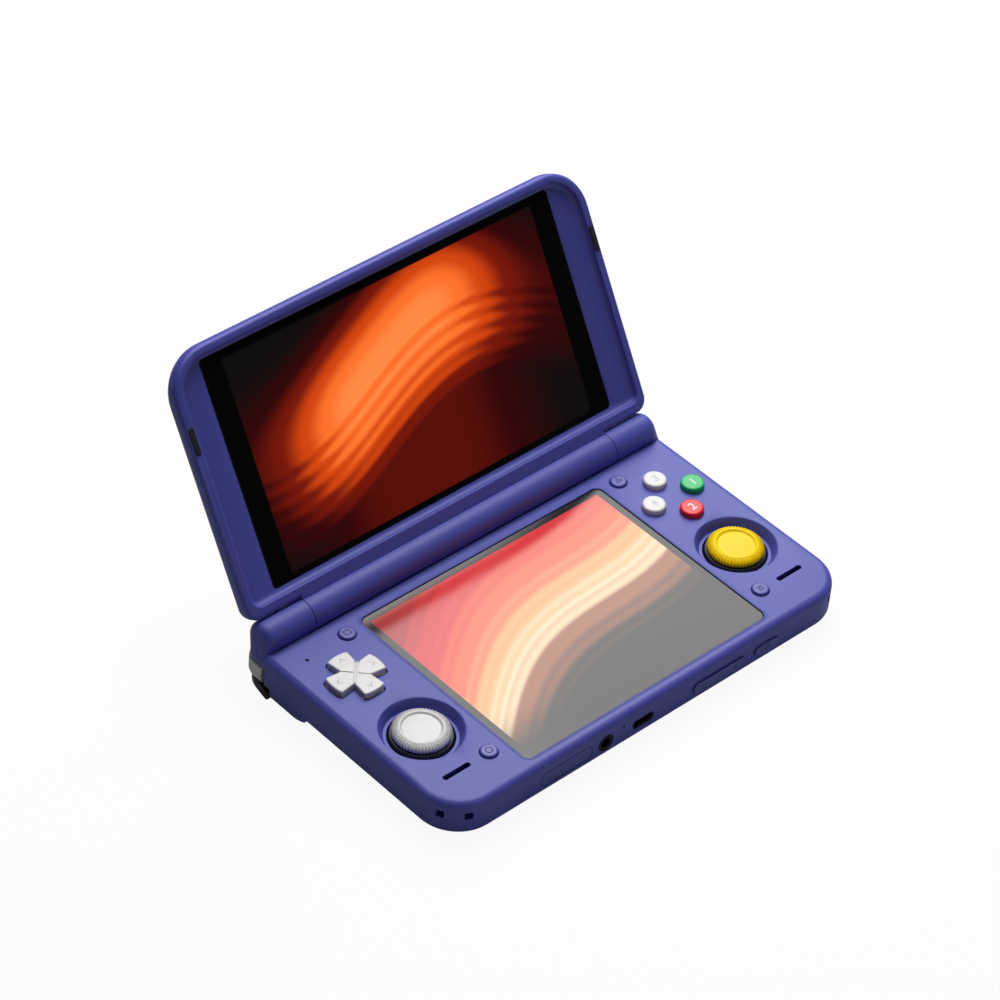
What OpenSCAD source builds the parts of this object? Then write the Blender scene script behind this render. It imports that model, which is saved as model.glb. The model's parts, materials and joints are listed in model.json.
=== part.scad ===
/* [Base casing] */
// Width of the control area at each side of the lower glass
control_w = 35.4; // [35.2:0.1:37]
// Depth of the strip between the lower glass and the rear wall
hinge_strip = 16.6; // [16.4:0.1:18]
// Thickness of the base in front of the rear hump
base_t = 13.3; // [13:0.1:15]
// How far the rear hump hangs below the front underside
hump_drop = 5; // [4.4:0.1:6.5]
// Distance of the hump's foot from the rear wall
hump_run = 32; // [30:0.5:34]
// Radius of the two front corners in plan
front_corner_r = 15.3; // [12:0.1:17]
// Radius of the two rear corners in plan
rear_corner_r = 7; // [6:0.1:8]
// Rounding of the top edge
top_edge_r = 2.8; // [2:0.1:3.4]
// Rounding of the lower edge
bottom_edge_r = 2.3; // [1.5:0.1:2.4]
// Wall thickness of the casings
wall = 1.8; // [1.5:0.05:2]
// Distance of the parting line below the top face
parting_drop = 10.9; // [10.7:0.05:11]

/* [Lid] */
// Angle of the lid above the level, leaning back
lid_lean = 59.4; // [50:0.1:70]
// How far the shut lid reaches past the front wall
lid_overhang = 0.28; // [0:0.02:0.6]
// Radius of the two free corners of the lid
lid_corner_r = 16; // [13:0.1:17]
// Radius of the two corners beside the hinge
lid_heel_r = 5; // [5:0.1:6]
// Rounding of the lid's back edge
lid_back_r = 4.9; // [4:0.1:4.9]
// Rounding of the rim's outer edge
lid_rim_r = 1.6; // [1.2:0.1:1.8]
// Height of the rim over the upper glass
rim_h = 2.6; // [2.3:0.05:2.65]
// Width of the rim at the sides
rim_side_w = 3.4; // [3.2:0.1:4]
// Width of the rim at the free edge
rim_top_w = 3; // [2.9:0.1:3.4]
// Length of one bumper pad in the rim
bumper_len = 9.4; // [8:0.2:11]

/* [Hinge] */
// Radius of the hinge barrel and its two knuckles
barrel_r = 5.88; // [5.7:0.02:6]
// Height of the hinge axis above the top face of the base
hinge_rise = 2.4; // [2.35:0.01:2.6]
// Distance of each hinge seam from the side wall
seam_in = 21.55; // [20.4:0.05:23]
// Running gap at each hinge seam
seam_gap = 0.3; // [0.2:0.05:0.4]
// Distance of a knuckle's outer end from the side wall
knuckle_inset = 1.6; // [1:0.1:2.5]
// Radius of the hinge shaft
shaft_r = 2.2; // [2:0.05:2.5]
// Radius of the hinge cartridge's body
cartridge_r = 3.9; // [3.6:0.05:4.1]

/* [Displays] */
// Width of the lower glass
lower_glass_w = 107.2; // [102:0.2:114]
// Depth of the lower glass
lower_glass_d = 81.7; // [79:0.1:86]
// Distance of the lower glass from the front wall
lower_glass_y = 4.9; // [4.6:0.1:5.4]
// Width of the lid's frame at each side of the upper glass
upper_side_w = 14.05; // [13.5:0.05:16]
// Width of the lid's frame over the upper glass
upper_top_w = 5.1; // [4.8:0.1:6]
// Distance of the upper glass from the hinge axis
upper_glass_v = 12.4; // [12.4:0.05:12.6]
// Corner radius of the lower glass
lower_corner_r = 2.8; // [2:0.1:4]
// Corner radius of the upper glass
upper_corner_r = 1.5; // [1:0.1:3]
// Thickness of the lower glass
lower_glass_t = 1; // [0.8:0.05:1.1]
// Thickness of the upper glass
upper_glass_t = 0.7; // [0.5:0.05:0.75]

/* [Sticks] */
// How far each stick sits inward of the control area's middle
stick_in = 0.9; // [0.6:0.1:1.4]
// Distance of each stick from the front wall
stick_y = 36.3; // [35:0.1:38]
// Diameter of a stick cap
stick_cap_d = 19.8; // [18:0.1:20]
// Radius of the round dish around a stick
dish_r = 14; // [13.9:0.05:14.2]
// Radius of the hole at the bottom of the dish
dish_hole_r = 11.2; // [11.1:0.05:11.4]
// Depth of the dish
dish_depth = 3.4; // [3.2:0.05:3.6]
// Depth of the stick's pivot below the top face
stick_pivot_drop = 6; // [5.9:0.05:6.1]

/* [Buttons] */
// How far the direction pad sits outward of the control area's middle
pad_out = 0.5; // [-0.2:0.1:0.7]
// Distance of the direction pad and of the round buttons behind the sticks
pad_behind = 30.5; // [30:0.1:30.9]
// Span of the direction pad across two arms
pad_span = 20; // [18:0.1:20.4]
// Height of the direction pad over the top face
pad_rise = 2.2; // [1.8:0.05:2.25]
// How far the round buttons' centre sits inward of the control area's middle
face_in = 0.9; // [0.4:0.1:2]
// Distance of each round button from their centre
face_pitch = 9.1; // [8.6:0.05:9.4]
// Diameter of a round button
face_d = 8.1; // [7.6:0.05:8.4]
// Height of a round button over the top face
face_rise = 2.2; // [1.6:0.05:2.5]
// Travel of a round button
face_travel = 1; // [0.6:0.05:1.1]
// How far the four small buttons sit inward of the control area's middle
small_in = 10.5; // [10.1:0.1:11.1]
// Distance of the rear small buttons from the rear wall
small_rear_in = 19.4; // [19.2:0.1:20]
// Distance of the front small buttons from the front wall
small_front_y = 15.2; // [14.6:0.1:16]
// Diameter of a small button
small_d = 6.1; // [5.4:0.05:6.4]
// Height of a small button over the top face
small_rise = 0.9; // [0.5:0.05:1]
// Gap around every button in its hole
button_gap = 0.2; // [0.15:0.01:0.25]

/* [Front edge] */
// Position of the card flap along the front wall
flap_x = -40.5; // [-42:0.1:-39]
// Length of the card flap
flap_len = 22; // [20:0.1:23]
// Height of the card flap
flap_h = 5.4; // [4.8:0.1:5.8]
// Position of the headphone jack along the front wall
jack_x = -23.4; // [-24:0.1:-22.5]
// Radius of the headphone plug's hole
jack_r = 1.8; // [1.76:0.01:1.85]
// Position of the charging port along the front wall
usb_x = -6.8; // [-8:0.1:-5]
// Position of the volume rocker along the front wall
volume_x = 27.2; // [26:0.1:28]
// Length of the volume rocker
volume_len = 23.4; // [21:0.1:24]
// Position of the power button along the front wall
power_x = 49.2; // [48.6:0.1:50]
// Length of the power button
power_len = 10.9; // [9:0.1:11.5]
// Height of the rocker and of the power button
edge_button_h = 3.8; // [3.2:0.1:4.2]
// How far the rocker and the power button stand out
edge_button_out = 0.7; // [0.5:0.05:0.9]
// Drop of the ports' centre line below the top face
port_drop = 7.3; // [7.1:0.05:7.4]

/* [Rear edge] */
// Length of a shoulder button along the rear wall
shoulder_len = 33; // [30:0.5:35]
// Height of a shoulder button
shoulder_h = 6.7; // [6.2:0.1:6.9]
// Drop of a shoulder button's top below the top face
shoulder_drop = 5.2; // [5.1:0.05:5.4]
// Width of a trigger
trigger_w = 29; // [26:0.5:29.2]
// Height of the rear rubber foot
rear_foot_h = 0.8; // [0.6:0.05:1.2]
// Height of a front rubber foot
front_foot_h = 1.8; // [1:0.1:2.4]
// Distance of the rear foot's centre from the rear wall
rear_foot_run = 16.8; // [16:0.1:17]
// Number of blades on the fan
fan_blades = 17; // [11:2:21]

/* [Hidden] */
$fn = 48;

// A hair that cuts run past a face
over = 0.02;
body_w = lower_glass_w + 2 * control_w;
base_d = lower_glass_y + lower_glass_d + hinge_strip;
half_w = body_w / 2;
control_cx = half_w - control_w / 2;
rear_y = rear_foot_run;
front_y = rear_y - base_d;
hinge_y = rear_y - barrel_r;
top_z = rear_foot_h + hump_drop + base_t;
front_floor_z = top_z - base_t;
hump_floor_z = rear_foot_h;
parting_z = top_z - parting_drop;
hinge_z = top_z + hinge_rise;
cavity_top_z = top_z - wall;
floor_t = 1.3;
cavity_floor_z = front_floor_z + floor_t;
hump_cavity_z = hump_floor_z + floor_t;
hump_front_y = rear_y - hump_run;
hump_ahead = 40;
hump_slope = 11;
tail_drop = 12;
tail_run = 10;
groove_gap = 0.4;
groove_r = barrel_r + groove_gap;
seam_x = half_w - seam_in;
knuckle_end_x = half_w - knuckle_inset;
knuckle_end_r = 3.4;

// Displays in the base
glass_sink = 0.3;
glass_gap = 0.15;
bead_r = 0.6;
bead_rise = 0.15;
lower_glass_top_z = top_z - glass_sink;
lower_glass_y0 = front_y + lower_glass_y;
ledge = 2.2;
lower_panel_t = 2.2;
lower_panel_w = lower_glass_w - 2 * ledge - 0.8;
lower_panel_d = lower_glass_d - 2 * ledge - 0.8;
lower_panel_z = lower_glass_top_z - lower_glass_t - lower_panel_t;
frame_t = 0.6;
frame_z = lower_panel_z - frame_t - 0.1;
post_r = 2.4;
post_x = lower_glass_w / 2 + 1.6;
post_front_in = 8.4;
post_ahead = 8.4;
post_ys = [front_y + post_front_in, front_y + stick_y + pad_behind - post_ahead];
screw_r = 0.8;
screw_head_r = 1.6;
screw_head_h = 0.6;
screw_len = 7;
fit_gap = 0.02;

// Sticks and buttons
stick_x = control_cx - stick_in;
stick_cy = front_y + stick_y;
stick_pivot_z = top_z - stick_pivot_drop;
cap_r = stick_cap_d / 2;
cap_t = 2.6;
cap_low = stick_pivot_drop - cap_t;
cap_ring_r = 6.6;
cap_step = 0.35;
cap_dish = 0.8;
cap_dish_r = 48;
stick_click = 0.4;
stem_h = cap_low + 0.7;
skirt_low = 1.6;
skirt_gap = 0.2;
skirt_r = dish_hole_r - skirt_gap;
dish_ring = 1;
dish_lip_r = 0.6;
skirt_wall = 1.2;
skirt_rim_t = 0.8;
skirt_open_r = 7.4;
gimbal_r = 4.6;
gimbal_h = 1.6;
gimbal_ball_r = 2.6;
gimbal_pin_r = 0.7;
stem_pin_r = 0.5;
stem_r = 1.6;
housing_w = 12;
housing_corner_r = 7.2;
ear_t = 1;
ear_w = 2.6;
ear_top = 1.1;
running_gap = 0.05;
plate_under_z = cavity_top_z;
pad_x = control_cx + pad_out;
face_x = control_cx - face_in;
small_x = control_cx - small_in;
pad_cy = stick_cy + pad_behind;
flange_gap = 0.2;
flange_t = 0.9;
board_z = top_z - 6.2;
board_t = 1;
pad_gap = 0.6;
pad_root_w = 7;
pad_tip_w = 8.4;
pad_flange_out = 1.1;
pad_ear_x = 2.9;
pad_ear_t = 0.9;
pad_crown = 0.5;
pad_crease_len = 0.52 * pad_span;
pad_crease_w = 0.8;
pad_flange_t = 0.8;
pad_hub = 2.4;
pad_pin_r = 0.6;
pad_well_r = 4.3;
pad_well_top = top_z - 2;
pad_pivot_z = top_z - 3.6;
speaker_x = control_cx + 3.1;
speaker_cy = front_y + small_front_y;
speaker_slot = 9.7;
speaker_slot_r = 0.75;
speaker_box_w = 12.8;
speaker_box_d = 9.6;
speaker_box_out = 5;
mic_x = control_cx + 7.5;
mic_cy = rear_y - 20.7;
mic_r = 0.6;
small_ys = [rear_y - small_rear_in, front_y + small_front_y];
mat_w = 25;
mat_d = 26.2;
mat_t = 0.6;
mat_in = 0.7;
mat_seat_r = 2.4;
mat_seat_t = 1.1;

// Front edge
port_z = top_z - port_drop;
usb_w = 8.94;
usb_h = 3.26;
usb_tongue = [6.6, 5.4, 0.7];
usb_gap = 0.35;
jack_nose_r = 3.2;
edge_button_gap = 0.25;
reset_hole_r = 0.5;
flap_t = 1;
flap_gap = 0.25;
flap_pin_r = 0.3;
flap_pin_x = flap_len / 2 + 0.1;
lanyard_r = 4.65;
lanyard_hole = 2.8;
lanyard_z = top_z - 5.2;

// Boards, battery and cooling
main_board_w = 2 * post_x - 10.4;
main_board_d = 20;
main_board_rise = 4.4;
processor = [16, 14, 1.6];
memory = [12, 10, 1.2];
connector = [7, 9, 0.9];
connector_xs = [
    -main_board_w / 2 + 6, -main_board_w / 2 + 16, main_board_w / 2 - 24, main_board_w / 2 - 14
];
battery_w = 2 * post_x - 16.4;
battery_in = 17;
battery_t = 6.2;
battery_r = 2;
pipe_w = 8;
pipe_t = 1.2;
fin_t = 0.6;
fin_h = 3.2;
fin_d = 14;
fin_step = 3;
fin_count = 15;
port_board_t = 0.9;
port_board_d = 11.1;
switch_size = [3.2, 2.6, 2.4];
jack_box = [6.2, 12, 5.2];
reader_w = 14;
reader_d = 13;
reader_h = 1.9;
fan_x = -30;
fan_y = rear_y - 16.3;
fan_r = 13.4;
fan_low_z = cavity_floor_z + 0.5;
fan_h = 5;
fan_wall = 0.7;
fan_inlet_r = 8.5;
fan_hub_r = 4.6;
fan_post_r = 0.8;
fan_post_h = 2.4;
fan_blade_len = 8;
fan_blade_t = 0.5;
cartridge_len = 14.3;
shaft_len = 12;

// Rear edge
exhaust_w = 64;
exhaust_h = 4.6;
exhaust_step = 2.1;
exhaust_slot = 1.2;
exhaust_z = top_z - 10;
shoulder_x = half_w - shoulder_len;
shoulder_t = 4.2;
shoulder_out = 0.4;
shoulder_side_y = rear_y - 10.4;
shoulder_top_z = top_z - shoulder_drop;
shoulder_bot_z = shoulder_top_z - shoulder_h;
shoulder_gap = 0.35;
trigger_in_x = shoulder_x + 3.5;
trigger_top_z = shoulder_bot_z - 0.4;
trigger_pivot_y = rear_y - 5.8;
trigger_pivot_z = trigger_top_z - 1.5;
trigger_pin_r = 0.7;
trigger_end_r = 6;
pocket_wall = 1.9;
shoulder_depth = 13;
trigger_depth = 16;
foot_d = 5;
rear_foot_len = 70;
front_foot_len = 18;
front_foot_x = half_w - 29;
front_foot_in = 13;

// Lid, measured from the hinge axis along and out of its face
lid_reach = base_d - barrel_r + lid_overhang;
upper_glass_w = body_w - 2 * upper_side_w;
upper_glass_h = lid_reach - upper_glass_v - upper_top_w;
bumper_v = lid_reach - 27.7;
lid_board_w = 60;
lid_board_d = 9;
lid_board_t = 0.8;
cable_w = 16;
cable_len = 18;
cable_t = 0.3;
cable_drop = 3.4;
lid_back_z = -barrel_r;
glass_face_z = lid_gap_z() - rim_h;
crest_z = lid_gap_z();
lid_split_z = lid_back_z + lid_back_r + 0.2;
lid_heel_v = barrel_r + 0.42;
lid_wall = 1.5;
lid_floor_t = 1.3;

bezel_t = 1.3;
tray_floor_z = glass_face_z + 0.08;
lid_seat_z = tray_floor_z - bezel_t - 0.15;
crest_round = 0.5;
tray_round = 2.4;
tray_heel_r = 3.4;
tray_corner_r = lid_corner_r - rim_side_w;
rim_heel_w = 4;
upper_panel_t = 1.4;
upper_ledge = 4;

// The rim's crest stays a hair above the top face when the lid is shut
function lid_gap_z() = hinge_rise - 0.43;

// ---- Shared shapes ----

// Section through an edge: a block r wide with its upper and lower outer corners rounded.
// As a cut it can open out by flare, with a round lip whose crest is at flare_z
module edge_section(r, low, high, low_r, high_r, flare = 0, flare_z = 0) {
    difference() {
        translate([0, low]) square([r, high - low]);
        if (high_r > 0) {
            difference() {
                translate([r - high_r, high - high_r]) square(high_r + over);
                translate([r - high_r, high - high_r]) circle(high_r);
            }
        }
        if (low_r > 0) {
            difference() {
                translate([r - low_r, low - over]) square(low_r + over);
                translate([r - low_r, low + low_r]) circle(low_r);
            }
        }
    }
    if (flare > 0) {
        difference() {
            translate([r - over, flare_z - flare]) square([flare + over, high - flare_z + flare]);
            translate([r + flare, flare_z - flare]) circle(flare);
        }
    }
}

// A plate with round corners in plan and rounded edges: half width w, from y0 to y1
module soft_plate(w, y0, y1, r0, r1, low, high, low_r = 0, high_r = 0, flare = 0, flare_z = 0) {
    for (side = [-1, 1]) {
        translate([side * (w - r0), y0 + r0, 0]) rotate([0, 0, side > 0 ? 270 : 180])
            rotate_extrude(angle = 90) edge_section(r0, low, high, low_r, high_r, flare, flare_z);
        translate([side * (w - r1), y1 - r1, 0]) rotate([0, 0, side > 0 ? 0 : 90])
            rotate_extrude(angle = 90) edge_section(r1, low, high, low_r, high_r, flare, flare_z);
        m = min(r0, r1);
        translate([side * (w - m), side > 0 ? y1 - r1 : y0 + r0, 0]) rotate([90, 0, side > 0 ? 0 : 180])
            linear_extrude(y1 - y0 - r0 - r1) edge_section(m, low, high, low_r, high_r, flare, flare_z);
    }
    translate([-(w - r0), y0 + r0, 0]) rotate([90, 0, 270]) mirror([0, 0, 1])
        linear_extrude(2 * (w - r0)) edge_section(r0, low, high, low_r, high_r, flare, flare_z);
    translate([w - r1, y1 - r1, 0]) rotate([90, 0, 90]) mirror([0, 0, 1])
        linear_extrude(2 * (w - r1)) edge_section(r1, low, high, low_r, high_r, flare, flare_z);
    m = min(r0, r1);
    translate([-(w - m), y0 + r0, low]) cube([2 * (w - m), y1 - y0 - r0 - r1, high - low]);
}

// A round rod that follows a plate's outline: half width w, from y0 to y1, corner radii r0 and r1
module round_loop(w, y0, y1, r0, r1, rod_r, z) {
    for (side = [-1, 1]) {
        translate([side * (w - r1), y1 - r1, z]) rotate([0, 0, side > 0 ? 0 : 90])
            rotate_extrude(angle = 90) translate([r1, 0]) circle(rod_r);
        translate([side * (w - r0), y0 + r0, z]) rotate([0, 0, side > 0 ? 270 : 180])
            rotate_extrude(angle = 90) translate([r0, 0]) circle(rod_r);
        translate([side * w, y0 + r0, z]) rotate([-90, 0, 0]) cylinder(r = rod_r, h = y1 - y0 - r0 - r1);
    }
    translate([0, y1, z]) x_cylinder(rod_r, -w + r1, w - r1);
    translate([0, y0, z]) x_cylinder(rod_r, -w + r0, w - r0);
}

// A plate with square edges and corners of one radius
module plain_plate(w, y0, y1, r, low, high) {
    translate([0, 0, low]) linear_extrude(high - low) union() {
        for (x = [-w + r, w - r], y = [y0 + r, y1 - r]) translate([x, y]) circle(r);
        translate([-w + r, y0]) square([2 * (w - r), y1 - y0]);
        translate([-w, y0 + r]) square([2 * w, y1 - y0 - 2 * r]);
    }
}

// A round-ended bar along X, its length and height in the XZ plane, going back along Y
module slot_bar(len, h, y0, y1) {
    translate([0, y1, 0]) rotate([90, 0, 0]) linear_extrude(y1 - y0) union() {
        for (x = [-1, 1]) translate([x * (len - h) / 2, 0]) circle(h / 2);
        square([len - h, h], center = true);
    }
}

module x_cylinder(r, x0, x1) {
    translate([x0, 0, 0]) rotate([0, 90, 0]) cylinder(r = r, h = x1 - x0);
}

module at_hinge() {
    translate([0, hinge_y, hinge_z]) children();
}

module in_lid() {
    at_hinge() rotate([lid_lean, 0, 0]) children();
}

module both_sides() {
    children();
    mirror([1, 0, 0]) children();
}

module on_side(side) {
    if (side > 0) children();
    if (side < 0) mirror([1, 0, 0]) children();
}

// ---- Base casings ----

// Side view of the hump: level floor, a slope in front and the slanted tail behind
module hump_profile(grow) {
    polygon([
        [hump_front_y + grow, front_floor_z + grow * 0.6 + 1],
        [hump_front_y + grow, front_floor_z + grow],
        [hump_front_y + hump_slope + grow * 0.7, hump_floor_z + grow],
        [rear_y - tail_run - grow * 0.4, hump_floor_z + grow],
        [rear_y - 0.6 - grow, top_z - tail_drop],
        [rear_y - grow, top_z - tail_drop + 1.5],
        [rear_y - grow, parting_z + 1],
        [hump_front_y + grow, parting_z + 1]
    ]);
}

// The lower half of the base with the hump, shrunk by a wall when grow is set
module lower_form(grow, floor_z, hump_z, high) {
    soft_plate(half_w - grow, front_y + grow, rear_y - 14, front_corner_r - grow, rear_corner_r - grow,
        floor_z, high, max(bottom_edge_r - grow, 0.3), 0);
    intersection() {
        translate([-body_w, 0, 0]) rotate([90, 0, 90]) linear_extrude(2 * body_w) hump_profile(grow);
        soft_plate(half_w - grow, hump_front_y - hump_ahead, rear_y - grow, rear_corner_r - grow,
            rear_corner_r - grow, hump_z, high, max(hump_drop - grow, 1), 0);
    }
}

module shoulder_pocket() {
    for (side = [-1, 1]) on_side(side) {
        translate([shoulder_x - shoulder_gap, rear_y - shoulder_t - 1.3, shoulder_bot_z - shoulder_gap])
            cube([half_w, shoulder_depth, shoulder_h + 2 * shoulder_gap]);
        translate([half_w - shoulder_t - 1.8, shoulder_side_y - 1.3, shoulder_bot_z - shoulder_gap])
            cube([shoulder_depth, trigger_depth, shoulder_h + 2 * shoulder_gap]);
    }
}

module trigger_pocket() {
    for (side = [-1, 1]) on_side(side)
        translate([trigger_in_x - 0.4, rear_y - 14.4, hump_floor_z - 5])
            cube([half_w, hump_run, trigger_top_z - hump_floor_z + 5.4]);
}

// Solid rear corner that the shoulder and trigger pockets are cut into
module pocket_block(low, high, depth) {
    for (side = [-1, 1]) on_side(side)
        translate([shoulder_x - pocket_wall, rear_y - depth, low]) cube([half_w, body_w, high - low]);
}

// Holes in the front wall for the ports and the edge buttons
module front_cuts() {
    y0 = front_y - 1;
    y1 = front_y + wall + 1;
    translate([usb_x, 0, port_z]) slot_bar(usb_w + 2 * usb_gap, usb_h + 2 * usb_gap, y0, y1);
    translate([jack_x, y0, port_z]) rotate([-90, 0, 0]) cylinder(r = jack_nose_r + 0.1, h = wall + 2);
    translate([flap_x, 0, port_z]) flap_form(flap_gap, y0, y1);
    for (bar = [[volume_x, volume_len], [power_x, power_len]]) translate([bar[0], 0, port_z])
        slot_bar(bar[1] + 2 * edge_button_gap, edge_button_h + 2 * edge_button_gap, y0, y1);
    translate([(jack_x + usb_x) / 2 - 0.6, y0, port_z + 2.4]) rotate([-90, 0, 0])
        cylinder(r = reset_hole_r, h = wall + 2);
}

// A square tunnel that leaves the corner wall twice, so a cord loops round the post between
module lanyard_tunnel() {
    corner = front_corner_r / sqrt(2);
    for (side = [-1, 1]) on_side(side)
        translate([half_w - front_corner_r + corner, front_y + front_corner_r - corner, lanyard_z])
            rotate([0, 0, 45]) rotate_extrude(angle = 180)
            translate([lanyard_r - lanyard_hole / 2, -lanyard_hole / 2]) square(lanyard_hole);
}

// Direction pad outline: two crossed arms that widen towards round-cornered ends
module pad_outline(grow) {
    arm = pad_span / 2 + grow;
    root = pad_root_w / 2 + grow;
    tip = pad_tip_w / 2 + grow;
    for (a = [0:90:270]) rotate(a)
        polygon([[0, -root], [root, -root], [arm - 1.6, -tip], [arm - 0.5, -tip + 0.5], [arm, -tip + 1.8],
            [arm, tip - 1.8], [arm - 0.5, tip - 0.5], [arm - 1.6, tip], [root, root], [0, root]]);
}

// Half section of the dish round a stick: sloped wall, flat ring at the bottom, soft lip
module dish_section() {
    floor_r = dish_hole_r + dish_ring;
    slope = dish_r - floor_r;
    lip_x = dish_r + dish_lip_r * (sqrt(pow(slope, 2) + pow(dish_depth, 2)) - slope) / dish_depth;
    polygon([[0, -dish_depth], [floor_r, -dish_depth], [dish_r, 0], [dish_r, over], [0, over]]);
    difference() {
        translate([dish_r - 0.5, -dish_lip_r / 2]) square([lip_x - dish_r + 0.5, dish_lip_r / 2 + over]);
        translate([lip_x, -dish_lip_r]) circle(dish_lip_r);
    }
}

// Holes in the top face
module top_cuts() {
    for (side = [-1, 1]) translate([side * stick_x, stick_cy, top_z]) {
        rotate_extrude($fn = 96) dish_section();
        translate([0, 0, -dish_depth - 2]) cylinder(r = dish_hole_r, h = 2.1);
    }
    translate([-pad_x, pad_cy, cavity_top_z - 1]) linear_extrude(wall + 2) pad_outline(pad_gap);
    for (a = [0:90:270]) translate([face_x, pad_cy, cavity_top_z - 1]) rotate([0, 0, a])
        translate([face_pitch, 0, 0]) cylinder(r = face_d / 2 + button_gap, h = wall + 2);
    for (side = [-1, 1], y = small_ys) translate([side * small_x, y, cavity_top_z - 1])
        cylinder(r = small_d / 2 + button_gap, h = wall + 2);
    for (side = [-1, 1]) translate([side * speaker_x, speaker_cy, cavity_top_z - 1]) {
        translate([-speaker_slot / 2, -speaker_slot_r, 0]) cube([speaker_slot, 2 * speaker_slot_r, wall + 2]);
        for (end = [-1, 1]) translate([end * speaker_slot / 2, 0, 0])
            cylinder(r = speaker_slot_r, h = wall + 2);
    }
    translate([-mic_x, mic_cy, cavity_top_z - 1]) cylinder(r = mic_r, h = wall + 2);
}

// Recess for the lower glass with a ledge round the panel's window
module lower_glass_cuts() {
    y1 = lower_glass_y0 + lower_glass_d;
    plain_plate(lower_glass_w / 2 + glass_gap, lower_glass_y0 - glass_gap, y1 + glass_gap,
        lower_corner_r + glass_gap, lower_glass_top_z - lower_glass_t, top_z + 1);
    plain_plate(lower_glass_w / 2 - ledge, lower_glass_y0 + ledge, y1 - ledge, 1.5, cavity_top_z - 3, top_z);
}

// Soft raised lip round the lower glass
module glass_bead() {
    out = glass_gap + bead_r - 0.1;
    round_loop(lower_glass_w / 2 + out, lower_glass_y0 - out, lower_glass_y0 + lower_glass_d + out,
        lower_corner_r + out, lower_corner_r + out, bead_r, top_z + bead_rise - bead_r);
}

module knuckles() {
    both_sides() {
        at_hinge() rotate([0, 90, 0]) rotate_extrude() difference() {
            translate([0, seam_x + seam_gap / 2]) square([barrel_r, knuckle_end_x - seam_x - seam_gap / 2]);
            translate([barrel_r - knuckle_end_r, knuckle_end_x - knuckle_end_r]) difference() {
                square(knuckle_end_r + over);
                circle(knuckle_end_r);
            }
        }
        intersection() {
            translate([seam_x + seam_gap / 2, hinge_y - 3, parting_z + 0.5])
                cube([knuckle_end_x - knuckle_end_r - seam_x, barrel_r + 3, hinge_z - parting_z - 0.5]);
            plain_plate(half_w, hinge_y - 30, rear_y, rear_corner_r, parting_z, hinge_z);
        }
    }
}

module hinge_groove() {
    at_hinge() {
        x_cylinder(groove_r, -seam_x - seam_gap / 2, seam_x + seam_gap / 2);
        translate([-seam_x - seam_gap / 2, 0, -groove_r])
            cube([2 * seam_x + seam_gap, 2 * groove_r, 4 * groove_r]);
    }
}

module screw_posts(low, high, r) {
    for (side = [-1, 1], y = post_ys) translate([side * post_x, y, low]) cylinder(r = r, h = high - low);
}

module upper_case() {
    color([0.36, 0.36, 0.66]) difference() {
        union() {
            soft_plate(half_w, front_y, rear_y, front_corner_r, rear_corner_r,
                parting_z, top_z, 0, top_edge_r);
            knuckles();
            glass_bead();
        }
        difference() {
            soft_plate(half_w - wall, front_y + wall, rear_y - wall,
                front_corner_r - wall, rear_corner_r - wall, parting_z - 1, cavity_top_z, 0, 1);
            at_hinge() x_cylinder(groove_r + 1.3, -half_w, half_w);
            for (side = [-1, 1]) translate([side * stick_x, stick_cy, top_z - dish_depth - 1.2])
                cylinder(r = dish_r + 1, h = 20);
            both_sides() lanyard_post();
            screw_posts(cavity_floor_z + 0.1, top_z - 0.5, post_r);
            pocket_block(parting_z - 2, top_z, shoulder_depth);
        }
        hinge_groove();
        top_cuts();
        lower_glass_cuts();
        front_cuts();
        lanyard_tunnel();
        shoulder_pocket();
        both_sides() at_hinge() x_cylinder(cartridge_r, seam_x - 1, seam_x + cartridge_len + 0.1);
        both_sides() shoulder_pin(0.05);
        exhaust_window(0);
        at_flap() x_cylinder(flap_pin_r + running_gap, -flap_pin_x - 0.2, flap_pin_x + 0.2);
        screw_posts(front_floor_z, front_floor_z + screw_len + 1, screw_r + fit_gap);
    }
}

// Solid corner that the lanyard tunnel is cut through
module lanyard_post() {
    corner = front_corner_r / sqrt(2);
    translate([half_w - front_corner_r + corner, front_y + front_corner_r - corner, parting_z - 2])
        cylinder(r = lanyard_r + lanyard_hole / 2 + 1.3, h = parting_drop + 4);
}

module lower_case() {
    color([0.33, 0.33, 0.62]) difference() {
        lower_form(0, front_floor_z, hump_floor_z, parting_z);
        difference() {
            lower_form(wall, cavity_floor_z, hump_cavity_z, parting_z + 2);
            pocket_block(0, parting_z + 3, trigger_depth);
        }
        shoulder_pocket();
        trigger_pocket();
        for (i = [-6:6]) translate([fan_x + i * 3.6 - 0.9, hump_front_y + 1, hump_floor_z - 1])
            cube([1.8, hump_slope - 1.4, front_floor_z - hump_floor_z + 3]);
        screw_posts(front_floor_z - 1, cavity_floor_z + 1, screw_r + 0.1);
        screw_posts(front_floor_z - 1, front_floor_z + screw_head_h + 0.1, screw_head_r + 0.1);
        both_sides() trigger_pins(running_gap);
    }
}

// Opening in the rear wall that the exhaust grille fills
module exhaust_window(gap) {
    translate([-exhaust_w / 2 + gap, rear_y - wall - 0.6, exhaust_z + gap])
        cube([exhaust_w - 2 * gap, wall + (gap > 0 ? 0.3 : 1.6), exhaust_h - 2 * gap]);
}

module exhaust_grille() {
    color([0.12, 0.12, 0.14]) difference() {
        exhaust_window(0.15);
        for (i = [-14:14])
            translate([i * exhaust_step - exhaust_slot / 2, rear_y - wall - 2, exhaust_z + 0.9])
            cube([exhaust_slot, wall + 4, exhaust_h - 1.8]);
    }
}

module lower_cover_glass() {
    color([0.05, 0.05, 0.06]) plain_plate(lower_glass_w / 2, lower_glass_y0, lower_glass_y0 + lower_glass_d,
        lower_corner_r, lower_glass_top_z - lower_glass_t, lower_glass_top_z);
}

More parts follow.
